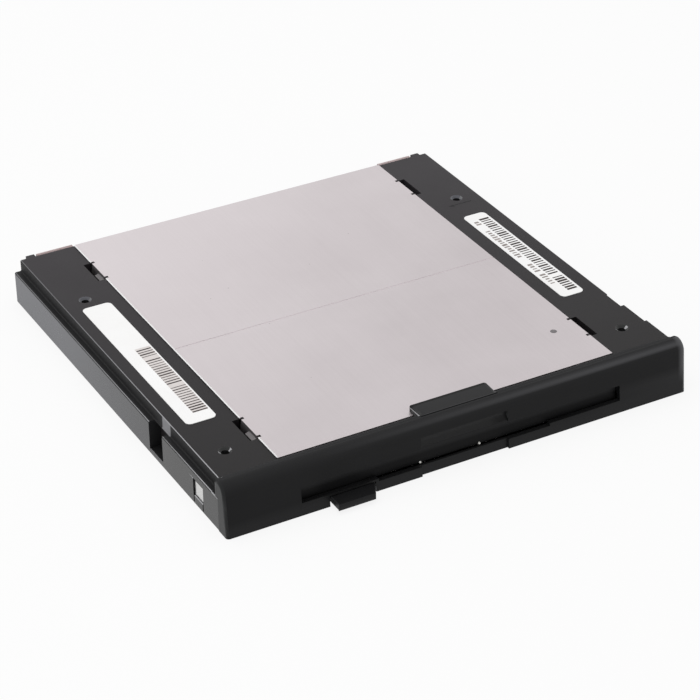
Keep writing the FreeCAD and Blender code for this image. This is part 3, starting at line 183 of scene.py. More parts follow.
@dataclass(frozen=True)
class Finish:
    """A finish: colours, gloss and texture of one real material.

    The cloudy change of tone has the size mottle_mm, and the fine texture the pitch grain_mm.
    """

    name: str
    slot: str
    colour: str
    soiled: str
    rough: float
    rough_spread: float = 0.06
    metallic: float = 0.0
    specular: float = 0.5
    mottle_mm: float = 14.0
    grain_mm: float = 0.3
    grain_depth_mm: float = 0.003
    grain_tone: float = 0.1
    surface: Surface = Surface.GRAINED
    alpha: float = 1.0

    CLOUD_DETAIL = 4.0
    GRAIN_DETAIL = 2.0
    # Between these values of the cloud, and of cloud and grain together, the tone and the gloss change.
    TONE_SPAN = (0.35, 0.7)
    GLOSS_SPAN = (0.6, 1.4)
    # Divides the wave texture's scale, so that its rings stand about one grain apart.
    WAVE_RINGS = 3
    WAVE_DISTORTION = 0.6

    def material(self) -> bpy.types.Material:
        """Gives the material of this finish, built at the first call.

        Returns:
            The material.
        """
        found = bpy.data.materials.get(self.name)
        if found is not None:
            return found
        made = bpy.data.materials.new(self.name)
        made.use_nodes = True
        made.diffuse_color = linear(self.colour)
        tree = made.node_tree
        tree.nodes.clear()
        place = add(tree, "ShaderNodeTexCoord").outputs["Object"]
        cloud = add(tree, "ShaderNodeTexNoise", {
            "Vector": place, "Scale": 1 / (self.mottle_mm * MM), "Detail": self.CLOUD_DETAIL}).outputs[0]
        grain = self.grain(tree, place)
        bump = add(tree, "ShaderNodeBump", {"Strength": 1.0, "Distance": self.grain_depth_mm * MM, "Height": grain})
        shader = add(tree, "ShaderNodeBsdfPrincipled", {
            "Metallic": self.metallic, "Specular IOR Level": self.specular, "Alpha": self.alpha,
            "Base Color": self.tone(tree, place, cloud, grain), "Roughness": self.gloss(tree, cloud, grain),
            "Normal": bump.outputs[0]})
        add(tree, "ShaderNodeOutputMaterial", {"Surface": shader.outputs[0]})
        return made

    def grain(self, tree: Tree, place: Socket) -> Socket:
        """Adds the fine texture.

        Args:
            tree: Tree of the material.
            place: Object coordinates.

        Returns:
            Height of the texture, from 0 to 1.
        """
        fine = 1 / (self.grain_mm * MM)
        if self.surface is Surface.WOUND:
            return add(tree, "ShaderNodeTexWave", {
                "Vector": place, "Scale": fine / self.WAVE_RINGS, "Distortion": self.WAVE_DISTORTION},
                wave_type="RINGS", rings_direction="Z").outputs[1]
        laid = add(tree, "ShaderNodeMapping", {"Vector": place, "Scale": self.surface.value}).outputs[0]
        return add(tree, "ShaderNodeTexNoise", {
            "Vector": laid, "Scale": fine, "Detail": self.GRAIN_DETAIL}).outputs[0]

    def tone(self, tree: Tree, place: Socket, cloud: Socket, grain: Socket) -> Socket:
        """Mixes the clean and the soiled colour.

        Args:
            tree: Tree of the material.
            place: Object coordinates.
            cloud: Cloudy pattern, from 0 to 1.
            grain: Fine texture, from 0 to 1.

        Returns:
            The colour.
        """
        patch = ramp(tree, cloud, self.TONE_SPAN, (0.0, 1.0 - self.grain_tone))
        share = reckon(tree, "MULTIPLY_ADD", grain, self.grain_tone, patch)
        return blend(tree, share, linear(self.colour), linear(self.soiled))

    def gloss(self, tree: Tree, cloud: Socket, grain: Socket) -> Socket:
        """Varies the roughness with the cloudy pattern and the fine texture.

        Args:
            tree: Tree of the material.
            cloud: Cloudy pattern, from 0 to 1.
            grain: Fine texture, from 0 to 1.

        Returns:
            The roughness.
        """
        both = reckon(tree, "ADD", cloud, grain)
        return ramp(tree, both, self.GLOSS_SPAN, (self.rough - self.rough_spread, self.rough + self.rough_spread))


@dataclass(frozen=True)
class CoverSheet(Finish):
    """Zinc-plated sheet, painted lighter towards its rear left corner as painted light, with a few specks of dirt."""

    # clean is the colour painted on the rear left corner: painted light.
    clean: str = "#dcd5d7"
    unlit_at_mm: float = -23.0
    lit_at_mm: float = 101.0
    speck_mm: float = 9.0
    speck_colour: str = "#8f8a8b"
    speck_rim: Spot = (0.025, 0.015)
    speck_share: float = 0.6

    def tone(self, tree: Tree, place: Socket, cloud: Socket, grain: Socket) -> Socket:
        """Adds the corner painted lighter as painted light, and the specks, to the rolled tone; as in Finish.tone."""
        sheet = super().tone(tree, place, cloud, grain)
        split = add(tree, "ShaderNodeSeparateXYZ", {0: place}).outputs
        aslant = reckon(tree, "SUBTRACT", split[Axis.Y], split[Axis.X])
        share = ramp(tree, aslant, in_metres((self.unlit_at_mm, self.lit_at_mm)))
        faded = blend(tree, share, sheet, linear(self.clean))
        cells = add(tree, "ShaderNodeTexVoronoi", {"Vector": place, "Scale": 1 / (self.speck_mm * MM)})
        dirt = ramp(tree, cells.outputs["Distance"], self.speck_rim, (0.0, self.speck_share))
        return blend(tree, dirt, faded, linear(self.speck_colour))


@dataclass(frozen=True)
class Fade:
    """Where a painted region begins and where it is full, along one axis or away from a middle on it."""

    axis: Axis
    begins_mm: float
    full_mm: float
    middle_mm: float | None = None

    def share(self, tree: Tree, place: Socket) -> Socket:
        """Adds the fade to a material.

        Args:
            tree: Tree of the material.
            place: Object coordinates.

        Returns:
            Share of the painted region, from 0 to 1.
        """
        along = add(tree, "ShaderNodeSeparateXYZ", {0: place}).outputs[self.axis]
        if self.middle_mm is not None:
            along = reckon(tree, "ABSOLUTE", reckon(tree, "SUBTRACT", along, self.middle_mm * MM))
        return ramp(tree, along, in_metres((self.begins_mm, self.full_mm)))


@dataclass(frozen=True)
class PaintedRegion:
    """Colour of one region over the clean tone, mostly painted light or shade; full where all its fades are full."""

    colour: str
    fades: tuple[Fade, ...]


@dataclass(frozen=True)
class PaintedLightMoulding(Finish):
    """Moulding with regions of colour laid over it, mostly painted light and shade."""

    painted_regions: tuple[PaintedRegion, ...] = ()

    def tone(self, tree: Tree, place: Socket, cloud: Socket, grain: Socket) -> Socket:
        """Lays the painted regions over the clean tone; as in Finish.tone."""
        tone = super().tone(tree, place, cloud, grain)
        for painted_regions in self.painted_regions:
            share, *others = (fade.share(tree, place) for fade in painted_regions.fades)
            for other in others:
                share = reckon(tree, "MULTIPLY", share, other)
            tone = blend(tree, share, tone, linear(painted_regions.colour))
        return tone


@dataclass(frozen=True)
class CircuitBoard(Finish):
    """Solder mask over copper tracks, which show as slightly lighter lanes."""

    lane_mm: float = 2.4
    lane_colour: str = "#2f7a4c"

    def tone(self, tree: Tree, place: Socket, cloud: Socket, grain: Socket) -> Socket:
        """Lays the lanes over the mask; as in Finish.tone."""
        mask = super().tone(tree, place, cloud, grain)
        lanes = add(tree, "ShaderNodeTexBrick", {
            "Vector": place, "Scale": 1 / (self.lane_mm * MM), "Mortar Size": 0.09, "Color1": BLACK, "Color2": BLACK,
            "Mortar": WHITE, "Brick Width": 3.0, "Row Height": 0.5}).outputs[0]
        return blend(tree, lanes, mask, linear(self.lane_colour))


class Finishes:
    """Every finish of the drive, by the record's material slot where it stands for one."""

    # ABS off a spark-eroded tool: charcoal, evenly satin, so that it greys towards the light; painted paler towards
    # the rear as painted light.
    SATIN_ABS = PaintedLightMoulding(
        "satin_moulded_abs", "frame_black", "#161415", "#1c1a1b", 0.46, specular=0.2, grain_mm=0.35,
        grain_depth_mm=0.004, painted_regions=(PaintedRegion("#2f2c2f", (Fade(Axis.Y, -55.0, 62.0),)),))
    # ABS off a polished tool: the slide walls mirror the floor as a soft grey band, painted paler towards the rear as
    # painted light.
    POLISHED_ABS = PaintedLightMoulding(
        "polished_moulded_abs", "frame_black", "#141414", "#161617", 0.26, 0.02, specular=0.37, mottle_mm=24.0,
        grain_mm=0.6, grain_depth_mm=0.0001, grain_tone=0.02, painted_regions=(PaintedRegion("#505157", (Fade(Axis.Y, -35.0, 35.0),)),))
    # Matt ABS of the slide ledges, which stay black beside the grey slide walls. A grey patch on the wall above the
    # left notch is painted light, standing in for a lit wall face.
    MATT_ABS = PaintedLightMoulding(
        "matt_moulded_abs", "frame_black", "#1a1a1b", "#202021", 0.6, specular=0.2, grain_mm=0.35,
        grain_depth_mm=0.004,
        painted_regions=(PaintedRegion("#848487", (Fade(Axis.X, 0.3, 0.2, -63.8), Fade(Axis.Y, 2.5, 2.1, -26.75))),))
    # ABS painted light grey on the outer edges: a painted highlight draws a thin light line along each, brighter
    # towards the front.
    BURNISHED_ABS = PaintedLightMoulding(
        "abs_edge_painted_highlight", "frame_black", "#58585a", "#646467", 0.3, specular=0.6,
        painted_regions=(PaintedRegion("#a6a6a9", (Fade(Axis.Y, 30.0, -55.0),)),))
    # Bezel ABS with a fine even grain: near black in front. Laid over it, in this order: lighter top and foot, a
    # painted highlight band along the crown towards the right, lighter lower right, and a painted reflection at the
    # right end.
    # Painted shade keeps the grip's rear rim and the groove before the grip black.
    BEZEL_ABS = PaintedLightMoulding(
        "fine_grained_bezel_abs", "bezel_black", "#131314", "#171718", 0.4, specular=0.13, grain_mm=0.3,
        grain_depth_mm=0.003, painted_regions=(
            PaintedRegion("#212122", (Fade(Axis.Z, 3.6, 6.1, 7.6),)),
            # painted highlight along the crown
            PaintedRegion("#434345", (Fade(Axis.X, -40.0, 40.0), Fade(Axis.Z, 0.65, 0.15, 13.65))),
            PaintedRegion("#262627", (Fade(Axis.X, 30.0, 62.0), Fade(Axis.Z, 8.0, 5.5))),
            # painted reflection at the right end
            PaintedRegion("#555557", (Fade(Axis.X, 63.4, 64.8), Fade(Axis.Z, 3.0, 7.5))),
            # painted shade on the grip's rear rim and in the groove before the grip
            PaintedRegion("#050506", (Fade(Axis.Y, -53.8, -53.5),)),
            PaintedRegion("#08080a", (Fade(Axis.Y, 0.45, 0.25, -58.3), Fade(Axis.X, 11.2, 10.9, 0.5)))))
    # The same moulding where hands polish it, at the ends: a soft light runs along it.
    BEZEL_SHEEN = Finish("handled_bezel_abs", "bezel_black", "#151617", "#1b1c1d", 0.38, specular=0.22,
                         grain_mm=0.3, grain_depth_mm=0.003)
    # The slope behind the crown, coarsely grained, so that it doesn't mirror the light behind; painted lighter than
    # the front as painted light from above.
    BEZEL_MATT = Finish("coarse_grained_bezel_abs", "bezel_black", "#2e2e2f", "#333334", 0.85, specular=0.06,
                        grain_mm=0.4, grain_depth_mm=0.006)
    # The eject button's chamfered edges, a shade lighter than the faces beside them: a painted highlight.
    BEZEL_EDGE = Finish("bezel_edge_painted_highlight", "bezel_black", "#2b2b2c", "#343436", 0.34, specular=0.35)
    # The edges of the finger grip: dark, with a painted highlight drawing a light line at its left end.
    GRIP_EDGE = PaintedLightMoulding(
        "grip_edge_painted_highlight", "bezel_black", "#2b2b2c", "#343436", 0.34, specular=0.35,
        painted_regions=(PaintedRegion("#9a9a9c", (Fade(Axis.X, -9.7, -10.1),)),))
    # The bezel's right edge: a grey band of painted reflection, where its rounding mirrors the light from the right.
    BEZEL_REFLECTION = Finish("bezel_abs_painted_reflection", "bezel_black", "#4c4c4e", "#565658", 0.4, specular=0.3)
    # Smooth ABS of the dust flap, black below and painted a little paler towards its top, as painted light falling in
    # past the slot's upper edge.
    FLAP_ABS = PaintedLightMoulding(
        "smooth_flap_abs", "flap_black", "#0b0b0c", "#101011", 0.45, specular=0.1,
        painted_regions=(PaintedRegion("#242425", (Fade(Axis.Z, 5.2, 6.2),)),))
    # The flap's stop pips, milky white as painted light: they stand in for light seen through gaps at the flap's
    # lower edge.
    NYLON = Finish("pip_white_painted_light", "label_paper", "#f4f3ee", "#e8e6df", 0.4)
    # Satin zinc plating: pale grey with a trace of pink, no mirror image.
    ZINC_SHEET = CoverSheet("satin_zinc_plated_sheet", "base_steel", "#cec7c9", "#c9c2c4", 0.44, metallic=1.0,
                            mottle_mm=26.0, grain_mm=0.5, grain_depth_mm=0.0006, surface=Surface.ROLLED)
    # Burr of the shear along the sheet, painted white: a painted highlight along the sheet's left edge.
    BURR_HIGHLIGHT = Finish("burr_painted_highlight", "base_steel", "#ffffff", "#f4f4f4", 0.4, specular=0.6)
    # The sheet's seam, painted lighter than the sheet as painted light against the shade in its groove, so only a
    # faint line is left.
    SEAM_STEEL = Finish("seam_steel_painted_light", "base_steel", "#ebe5e7", "#e3dddf", 0.4, metallic=1.0)
    # Bent and pressed spots of the sheet: grey; on the bent faces and hooks in the tab pockets it is painted shade.
    SHADED_GREY_STEEL = Finish("grey_steel_painted_shade", "base_steel", "#8a8788", "#7c797a", 0.6, metallic=1.0)
    # Plated sheet of the cover on the floor side: pale, with a soft sheen along the rolling.
    PLATED_STEEL = Finish("plated_steel_sheet", "base_steel", "#c6c3c2", "#b9b6b5", 0.38, metallic=1.0,
                          mottle_mm=18.0, grain_mm=0.5, grain_depth_mm=0.0006, surface=Surface.ROLLED)
    # Bright rolled steel of the cage and the shafts: fine streaks and sharp lights.
    BRIGHT_STEEL = Finish("bright_rolled_steel", "bright_steel", "#d4d4d3", "#bdbdbb", 0.26, metallic=1.0,
                          grain_mm=0.4, grain_depth_mm=0.0005, surface=Surface.TURNED)
    # Steel of the chassis rails, painted near black as painted shade where the gap past the flap's end shows them.
    PHOSPHATED = Finish("rail_steel_painted_shade", "bright_steel", "#1d1d1e", "#262627", 0.55, specular=0.25,
                        grain_mm=0.2, grain_depth_mm=0.003)
    # Uncoated label paper: white, with a trace of fibre.
    LABEL_PAPER = Finish("matt_label_paper", "label_paper", "#ffffff", "#fbfaf9", 0.75, specular=0.2,
                         grain_mm=0.2, grain_depth_mm=0.001)
    # Thermal print: grey-brown, uneven.
    PRINT_INK = Finish("thermal_print_ink", "label_paper", "#332d2c", "#4f4745", 0.7, specular=0.2, mottle_mm=2.0)
    # The same print worn thin, for the small dashes: pale brown.
    PALE_INK = Finish("faded_print_ink", "label_paper", "#8d8582", "#b0a8a5", 0.7, specular=0.2, mottle_mm=2.0)
    # Paper that the print head has tinted between the bars.
    TINTED_PAPER = Finish("tinted_label_paper", "label_paper", "#dad4d2", "#e4dedc", 0.75, specular=0.2,
                          mottle_mm=3.0)
    # Thin polyimide film: pale pinkish brown, light shines through it.
    AMBER_FILM = Finish("thin_polyimide_film", "amber_film", "#dfc7c7", "#d2b6b4", 0.3, mottle_mm=5.0, alpha=0.5)
    # Glass laminate under solder mask: deep green and half glossy, with lighter lanes over the tracks.
    BOARD = CircuitBoard("solder_mask_laminate", "board_green", "#1b5a36", "#164d2e", 0.35)
    # Moulded epoxy of the chips, switches and plug: flat black.
    CHIP_EPOXY = Finish("moulded_epoxy", "chip_black", "#1c1c1d", "#262627", 0.5, specular=0.35)
    # Enamelled winding wire: reddish, with the shine of strand beside strand.
    COPPER = Finish("enamelled_copper_wire", "copper_coil", "#b5673a", "#8c4a26", 0.3, metallic=1.0, grain_mm=0.15,
                    grain_depth_mm=0.02, surface=Surface.WOUND)
    # Stacked core sheets: dull grey with level lines.
    CORE = Finish("laminated_core_steel", "core_steel", "#7c7c7e", "#5e5e60", 0.45, metallic=1.0, grain_mm=0.2,
                  grain_depth_mm=0.01, surface=Surface.STACKED)
    # Bonded ferrite of the rotor's ring: dark and dull as slate.
    MAGNET = Finish("bonded_ferrite", "magnet_dark", "#343436", "#28282a", 0.6)
    # Sintered bronze of the bearing: yellow-brown, finely porous.
    BRONZE = Finish("sintered_bronze", "bearing_brass", "#b08d4c", "#8f6f38", 0.38, metallic=1.0, grain_mm=0.15)
    # Gold flash on the plug's contacts: bright yellow glints in the dark mouth.
    GOLD = Finish("gold_flashed_contact", "bearing_brass", "#d9b45c", "#bd9745", 0.22, metallic=1.0)
    # Glass-filled resin of the carriage, arm and lever: dark grey with a coarse grain.
    RESIN = Finish("glass_filled_resin", "carriage_resin", "#2c2c2e", "#3a3a3c", 0.5, grain_mm=0.5,
                   grain_depth_mm=0.005)
    # Polished ceramic of the heads: smooth warm grey with a clear highlight.
    CERAMIC = Finish("polished_ceramic", "head_ceramic", "#a19d9a", "#8d8986", 0.2, specular=0.6)

    BY_SLOT = {f.slot: f for f in (SATIN_ABS, BEZEL_ABS, FLAP_ABS, PLATED_STEEL, BRIGHT_STEEL, LABEL_PAPER,
                                   AMBER_FILM, BOARD, CHIP_EPOXY, COPPER, CORE, MAGNET, BRONZE, RESIN, CERAMIC)}


def tube(work: bmesh.types.BMesh, rings: list[list[bmesh.types.BMVert]]) -> None:
    """Joins rings of equal length to a tube with flat ends.

    Args:
        work: Shape that gets the faces.
        rings: Corners of each ring, in the same order around.
    """
    sides = len(rings[0])
    for near, far in zip(rings, rings[1:]):
        for i in range(sides):
            work.faces.new((near[i], near[(i + 1) % sides], far[(i + 1) % sides], far[i]))
    work.faces.new(rings[0])
    work.faces.new(rings[-1])


def closed_mesh(work: bmesh.types.BMesh, name: str, finish: Finish) -> bpy.types.Mesh:
    """Turns a closed shape into a mesh whose faces point outwards.

    Args:
        work: The shape; it is freed.
        name: Name of the mesh.
        finish: Its finish.

    Returns:
        The mesh.
    """
    bmesh.ops.recalc_face_normals(work, faces=work.faces)
    mesh = bpy.data.meshes.new(name)
    work.to_mesh(mesh)
    work.free()
    mesh.materials.append(finish.material())
    return mesh


def new_piece(name: str, mesh: bpy.types.Mesh, body: str, slot: str) -> bpy.types.Object:
    """Puts a finished mesh into the scene as a piece of the drive.

    Args:
        name: Name of the piece.
        mesh: Mesh whose coordinates are in the shared frame.
        body: Body that it moves with.
        slot: The record's material slot that its finish belongs to; not used.

    Returns:
        The new object.
    """
    piece = bpy.data.objects.new(name, mesh)
    bpy.context.scene.collection.objects.link(piece)
    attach(piece, body)
    LOG.info("%s rides on %s, %d faces", name, body, len(mesh.polygons))
    return piece


def plain_mesh(piece: bpy.types.Object, name: str) -> bpy.types.Mesh:
    """Turns an object with modifiers into a plain mesh.

    Args:
        piece: Object to evaluate; it is removed.
        name: Name of the mesh.

    Returns:
        The mesh with its modifiers applied.
    """
    graph = bpy.context.evaluated_depsgraph_get()
    made = bpy.data.meshes.new_from_object(piece.evaluated_get(graph), depsgraph=graph)
    made.name = name
    piece.modifiers.clear()
    bpy.data.objects.remove(piece)
    return made


def reach(face: bmesh.types.BMFace, spot_mm: Spot) -> float:
    """Measures how far a face reaches from an upright axis.

    Args:
        face: The face.
        spot_mm: Place of the axis across and along the drive.

    Returns:
        Distance of the face's farthest corner in metres.
    """
    x, y = in_metres(spot_mm)
    return max(math.hypot(v.co.x - x, v.co.y - y) for v in face.verts)


@dataclass
class BrokenEdges:
    """Copy of a solid whose outer edges are broken by a small chamfer with its own finish."""

    node: str
    body: str
    finishes: tuple[Finish, ...]
    edge: Finish
    width_mm: float = 0.22
    least_edge_mm: float = 0.9
    sharp_degrees: float = 35.0
    flat_degrees: float = 0.3

    def build(self) -> bpy.types.Object:
        """Makes the copy, dresses it and puts it in place of the solid.

        Returns:
            The new piece.
        """
        raw = bpy.data.objects.new("raw_" + self.node, self.welded())
        bpy.context.scene.collection.objects.link(raw)
        bevel = raw.modifiers.new("broken_edges", "BEVEL")
        bevel.width = self.width_mm * MM
        bevel.segments = 1
        bevel.limit_method = "WEIGHT"
        bevel.use_clamp_overlap = False
        bevel.material = len(self.finishes)
        mesh = self.smoothed(plain_mesh(raw, self.node + "_dressed"))
        piece = new_piece(self.node + "_dressed", mesh, self.body, self.finishes[0].slot)
        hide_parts(self.node)
        return piece

    def zone(self, face: bmesh.types.BMFace) -> int:
        """Chooses the finish of a face: the first one, unless a piece says more.

        Args:
            face: Face of the welded solid.

        Returns:
            Number of the finish, which for the finish of the edges comes after the others.
        """
        return 0

    def broken(self, edge: bmesh.types.BMEdge) -> bool:
        """Tells whether an edge is a long, sharp outer one.

        Args:
            edge: Edge of the welded solid.

        Returns:
            Whether it gets a chamfer.
        """
        if len(edge.link_faces) != 2 or edge.calc_length() < self.least_edge_mm * MM:
            return False
        return edge.calc_face_angle_signed() > math.radians(self.sharp_degrees)

    def welded(self) -> bpy.types.Mesh:
        """Welds the solid's triangles into flat faces, and marks the edges to break.

        Returns:
            The mesh with its finishes.
        """
        work = bmesh.new()
        work.from_mesh(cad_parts[self.node].data)
        bmesh.ops.remove_doubles(work, verts=work.verts, dist=WELD)
        bmesh.ops.dissolve_limit(work, angle_limit=math.radians(self.flat_degrees), verts=work.verts,
                                 edges=work.edges)
        weight = work.edges.layers.float.new("bevel_weight_edge")
        for edge in work.edges:
            edge[weight] = 1.0 if self.broken(edge) else 0.0
        for face in work.faces:
            face.material_index = self.zone(face)
        mesh = bpy.data.meshes.new(self.node + "_welded")
        for finish in (*self.finishes, self.edge):
            mesh.materials.append(finish.material())
        work.to_mesh(mesh)
        work.free()
        return mesh

    def smoothed(self, mesh: bpy.types.Mesh) -> bpy.types.Mesh:
        """Shades round faces smoothly and keeps flat ones flat.

        Args:
            mesh: Mesh with broken edges.

        Returns:
            The mesh with its normals.
        """
        mesh.shade_smooth()
        mesh.set_sharp_from_angle(angle=math.radians(self.sharp_degrees))
        raw = bpy.data.objects.new("raw_" + self.node, mesh)
        bpy.context.scene.collection.objects.link(raw)
        evened = raw.modifiers.new("evened_normals", "WEIGHTED_NORMAL")
        evened.keep_sharp = True
        return plain_mesh(raw, mesh.name)


@dataclass
class CarrierSkin(BrokenEdges):
    """The carrier's moulding: satin flanges, polished slide walls, matt ledges, a painted highlight on the outer
    edges and painted glints in the screw seats.

    Depths go in from the outermost face, or down from the highest one. The values ending in a letter are parts of a
    face's direction.
    """

    seats_mm: tuple[Spot, ...] = ((57.15, -45.5), (57.15, 37.1), (-57.15, -45.5), (-57.15, 37.1))
    seat_r_mm: float = 1.75
    rim_mm: float = 0.5
    wall_mm: float = 1.2
    ledge_mm: float = 3.0
    flange_mm: float = 0.3
    edges_mm: float = 2.5
    aslant_z: Spot = (0.2, 0.95)
    fillet_x: float = 0.2
    lit_z: float = 0.6
    wall_x: float = 0.5
    glint_ratio: float = 4.0
    run_ratio: float = 5.0

    SATIN, POLISHED, MATT, BURNISHED = range(4)

    def __post_init__(self) -> None:
        """Notes the moulding's outermost and highest faces."""
        self.side, _, self.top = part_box(self.node)[1]

    def zone(self, face: bmesh.types.BMFace) -> int:
        """Sorts a face by its place and direction; as in BrokenEdges.zone."""
        centre, normal = face.calc_center_median(), face.normal
        aslant = self.aslant_z[0] < normal.z < self.aslant_z[1]
        if any(reach(face, seat) < self.seat_r_mm * MM for seat in self.seats_mm):
            if not aslant:
                return self.MATT
            # Painted glints: cone faces that look across the drive take the highlight finish, the others stay
            # polished.
            return self.BURNISHED if abs(normal.x) > self.glint_ratio * abs(normal.y) else self.POLISHED
        outer = centre.z > self.top - self.rim_mm * MM or abs(centre.x) > self.side - self.rim_mm * MM
        if outer and aslant and abs(normal.x) > self.fillet_x:
            # Painted highlight: the outer fillets' facets that face up take the highlight finish, the others stay
            # matt.
            return self.BURNISHED if normal.z > self.lit_z else self.MATT
        if abs(normal.x) > self.wall_x and abs(centre.x) > self.side - self.wall_mm * MM:
            return self.POLISHED
        if centre.z < self.top - self.flange_mm * MM and abs(centre.x) > self.side - self.ledge_mm * MM:
            return self.MATT
        return self.SATIN

    def broken(self, edge: bmesh.types.BMEdge) -> bool:
        """Keeps to the outer edges along the drive; as in BrokenEdges.broken."""
        run = edge.verts[0].co - edge.verts[1].co
        outer = abs(edge.verts[0].co.x) > self.side - self.edges_mm * MM
        return super().broken(edge) and outer and abs(run.y) > self.run_ratio * (abs(run.x) + abs(run.z))


@dataclass
class SheetSkin(BrokenEdges):
    """The cover sheet: satin faces, a seam painted light, bent sides and hooks painted grey as shade, a grey dimple,
    and no broken edge.
    """

    half_w_mm: float = 47.85
    seam_mm: Spot = (2.0, 2.4)
    dimple_mm: Spot = (40.7, -38.6)
    dimple_r_mm: float = 1.6
    side_x: float = 0.5

    SATIN, DULL, SEAM = range(3)

    def zone(self, face: bmesh.types.BMFace) -> int:
        """Sorts a face by its direction and place; as in BrokenEdges.zone."""
        front, rear = in_metres(self.seam_mm)
        if all(front < v.co.y < rear for v in face.verts):
            return self.SEAM
        # Bent sides and hooks in the tab pockets are painted grey as shade; the dimple is grey too.
        bent = abs(face.normal.x) > self.side_x or abs(face.calc_center_median().x) > self.half_w_mm * MM
        return self.DULL if bent or reach(face, self.dimple_mm) < self.dimple_r_mm * MM else self.SATIN

    def broken(self, edge: bmesh.types.BMEdge) -> bool:
        """Keeps every edge as it is; as in BrokenEdges.broken."""
        return False


@dataclass
class BezelSkin(BrokenEdges):
    """The bezel's moulding: dark front and crown, handled left end, right end with a painted reflection, matt slope
    behind painted lighter as painted light.

    The values ending in a letter are parts of a face's direction.
    """

    crown_y_mm: float = -58.6
    end_mm: float = 3.0
    grip_mm: float = 1.2
    slope_y: float = 0.15
    slope_z: float = 0.2
    rounding_x: Spot = (0.1, 0.9)
    side_x: float = 0.3

    FRONT, HANDLED, SLOPE, RUBBED = range(4)

    def __post_init__(self) -> None:
        """Notes where the right end's rounding and the grip behind the crown begin."""
        self.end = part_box(self.node)[1][0] - self.end_mm * MM
        self.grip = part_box(self.node)[1][2] - self.grip_mm * MM

    def zone(self, face: bmesh.types.BMFace) -> int:
        """Sorts a face by its direction and place; as in BrokenEdges.zone."""
        normal = face.normal
        # The slope behind the crown takes the finish painted lighter, as painted light from above.
        if normal.y > self.slope_y and normal.z > self.slope_z:
            return self.SLOPE
        # The right end's rounding takes the finish of painted reflection.
        if self.rounding_x[0] < normal.x < self.rounding_x[1] and face.calc_center_median().x > self.end:
            return self.RUBBED
        return self.HANDLED if abs(normal.x) > self.side_x else self.FRONT

    def broken(self, edge: bmesh.types.BMEdge) -> bool:
        """Keeps to the edges of the grip behind the crown; as in BrokenEdges.broken."""
        return super().broken(edge) and all(
            v.co.z > self.grip and v.co.y > self.crown_y_mm * MM for v in edge.verts)


@dataclass
class BarRow:
    """A row of bars laid out by Geometry Nodes with a fixed seed, such as printed lines or contacts.

    Start is the middle of the first bar. Each bar is scaled at random between least and most on each axis, and
    a share of the bars is left out.
    """

    name: str
    start_mm: Size
    step_mm: Size
    count: int
    bar_mm: Size
    finish: Finish
    least: Size = (1.0, 1.0, 1.0)
    most: Size = (1.0, 1.0, 1.0)
    filled: float = 1.0
    seed: int = 1

    INPUTS = {"Start": "NodeSocketVector", "Step": "NodeSocketVector", "Count": "NodeSocketInt",
              "Bar": "NodeSocketVector", "Least": "NodeSocketVector", "Most": "NodeSocketVector",
              "Filled": "NodeSocketFloat", "Seed": "NodeSocketInt", "Finish": "NodeSocketMaterial"}

    def tree(self) -> Tree:
        """Gives the node tree that every row shares, built at the first call.

        Returns:
            The tree. Its random nodes have several sockets of one name, which go by number.
        """
        found = bpy.data.node_groups.get("bar_row")
        if found is not None:
            return found
        tree = bpy.data.node_groups.new("bar_row", "GeometryNodeTree")
        for name, kind in self.INPUTS.items():
            tree.interface.new_socket(name, in_out="INPUT", socket_type=kind)
        tree.interface.new_socket("Row", in_out="OUTPUT", socket_type="NodeSocketGeometry")
        given = add(tree, "NodeGroupInput").outputs
        places = add(tree, "GeometryNodeMeshLine", {
            "Count": given["Count"], "Start Location": given["Start"], "Offset": given["Step"]},
            mode="OFFSET").outputs[0]
        bar = add(tree, "GeometryNodeMeshCube", {"Size": given["Bar"]}).outputs[0]
        scale = add(tree, "FunctionNodeRandomValue", {
            0: given["Least"], 1: given["Most"], "Seed": given["Seed"]}, data_type="FLOAT_VECTOR").outputs[0]
        present = add(tree, "FunctionNodeRandomValue", {
            "Probability": given["Filled"], "Seed": given["Seed"]}, data_type="BOOLEAN").outputs[3]
        bars = add(tree, "GeometryNodeInstanceOnPoints", {
            "Points": places, "Selection": present, "Instance": bar, "Scale": scale}).outputs[0]
        solid = add(tree, "GeometryNodeRealizeInstances", {0: bars}).outputs[0]
        dressed = add(tree, "GeometryNodeSetMaterial", {"Geometry": solid, "Material": given["Finish"]}).outputs[0]
        add(tree, "NodeGroupOutput", {0: dressed})
        return tree

    def build(self) -> bpy.types.Object:
        """Lays the row out as a plain mesh on the housing.

        Returns:
            The new piece.
        """
        tree = self.tree()
        values = {"Start": in_metres(self.start_mm), "Step": in_metres(self.step_mm), "Count": self.count,
                  "Bar": in_metres(self.bar_mm), "Least": self.least, "Most": self.most, "Filled": self.filled,
                  "Seed": self.seed, "Finish": self.finish.material()}
        raw = bpy.data.objects.new("raw_" + self.name, bpy.data.meshes.new("raw_" + self.name))
        modifier = raw.modifiers.new("row", "NODES")
        modifier.node_group = tree
        for item in tree.interface.items_tree:
            if item.in_out == "INPUT":
                modifier[item.identifier] = values[item.name]
        bpy.context.scene.collection.objects.link(raw)
        return new_piece(self.name, plain_mesh(raw, self.name), "housing", self.finish.slot)


@dataclass(frozen=True)
class Print:
    """A row of print along a label, whose corner is measured from the label's front left one.

    A bar takes a share of the pitch between thin and thick, and a share of the row's width from shortest to all.
    """

    name: str
    label: str
    corner_mm: Spot
    across_mm: float
    run_mm: float
    pitch_mm: float
    thin: float
    thick: float
    filled: float
    seed: int
    ink: Finish = Finishes.PRINT_INK
    shortest: float = 0.97

    def build(self, film_mm: float) -> None:
        """Lays the bars on the label.

        Args:
            film_mm: Thickness of the ink, half of which stands in the paper.
        """
        low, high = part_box(self.label)
        start = (low[0] / MM + self.corner_mm[0] + self.across_mm / 2, low[1] / MM + self.corner_mm[1], high[2] / MM)
        BarRow(self.name, start, (0, self.pitch_mm, 0), int(self.run_mm / self.pitch_mm),
               (self.across_mm, self.pitch_mm, film_mm), self.ink, (self.shortest, self.thin, 1), (1, self.thick, 1),
               self.filled, self.seed).build()


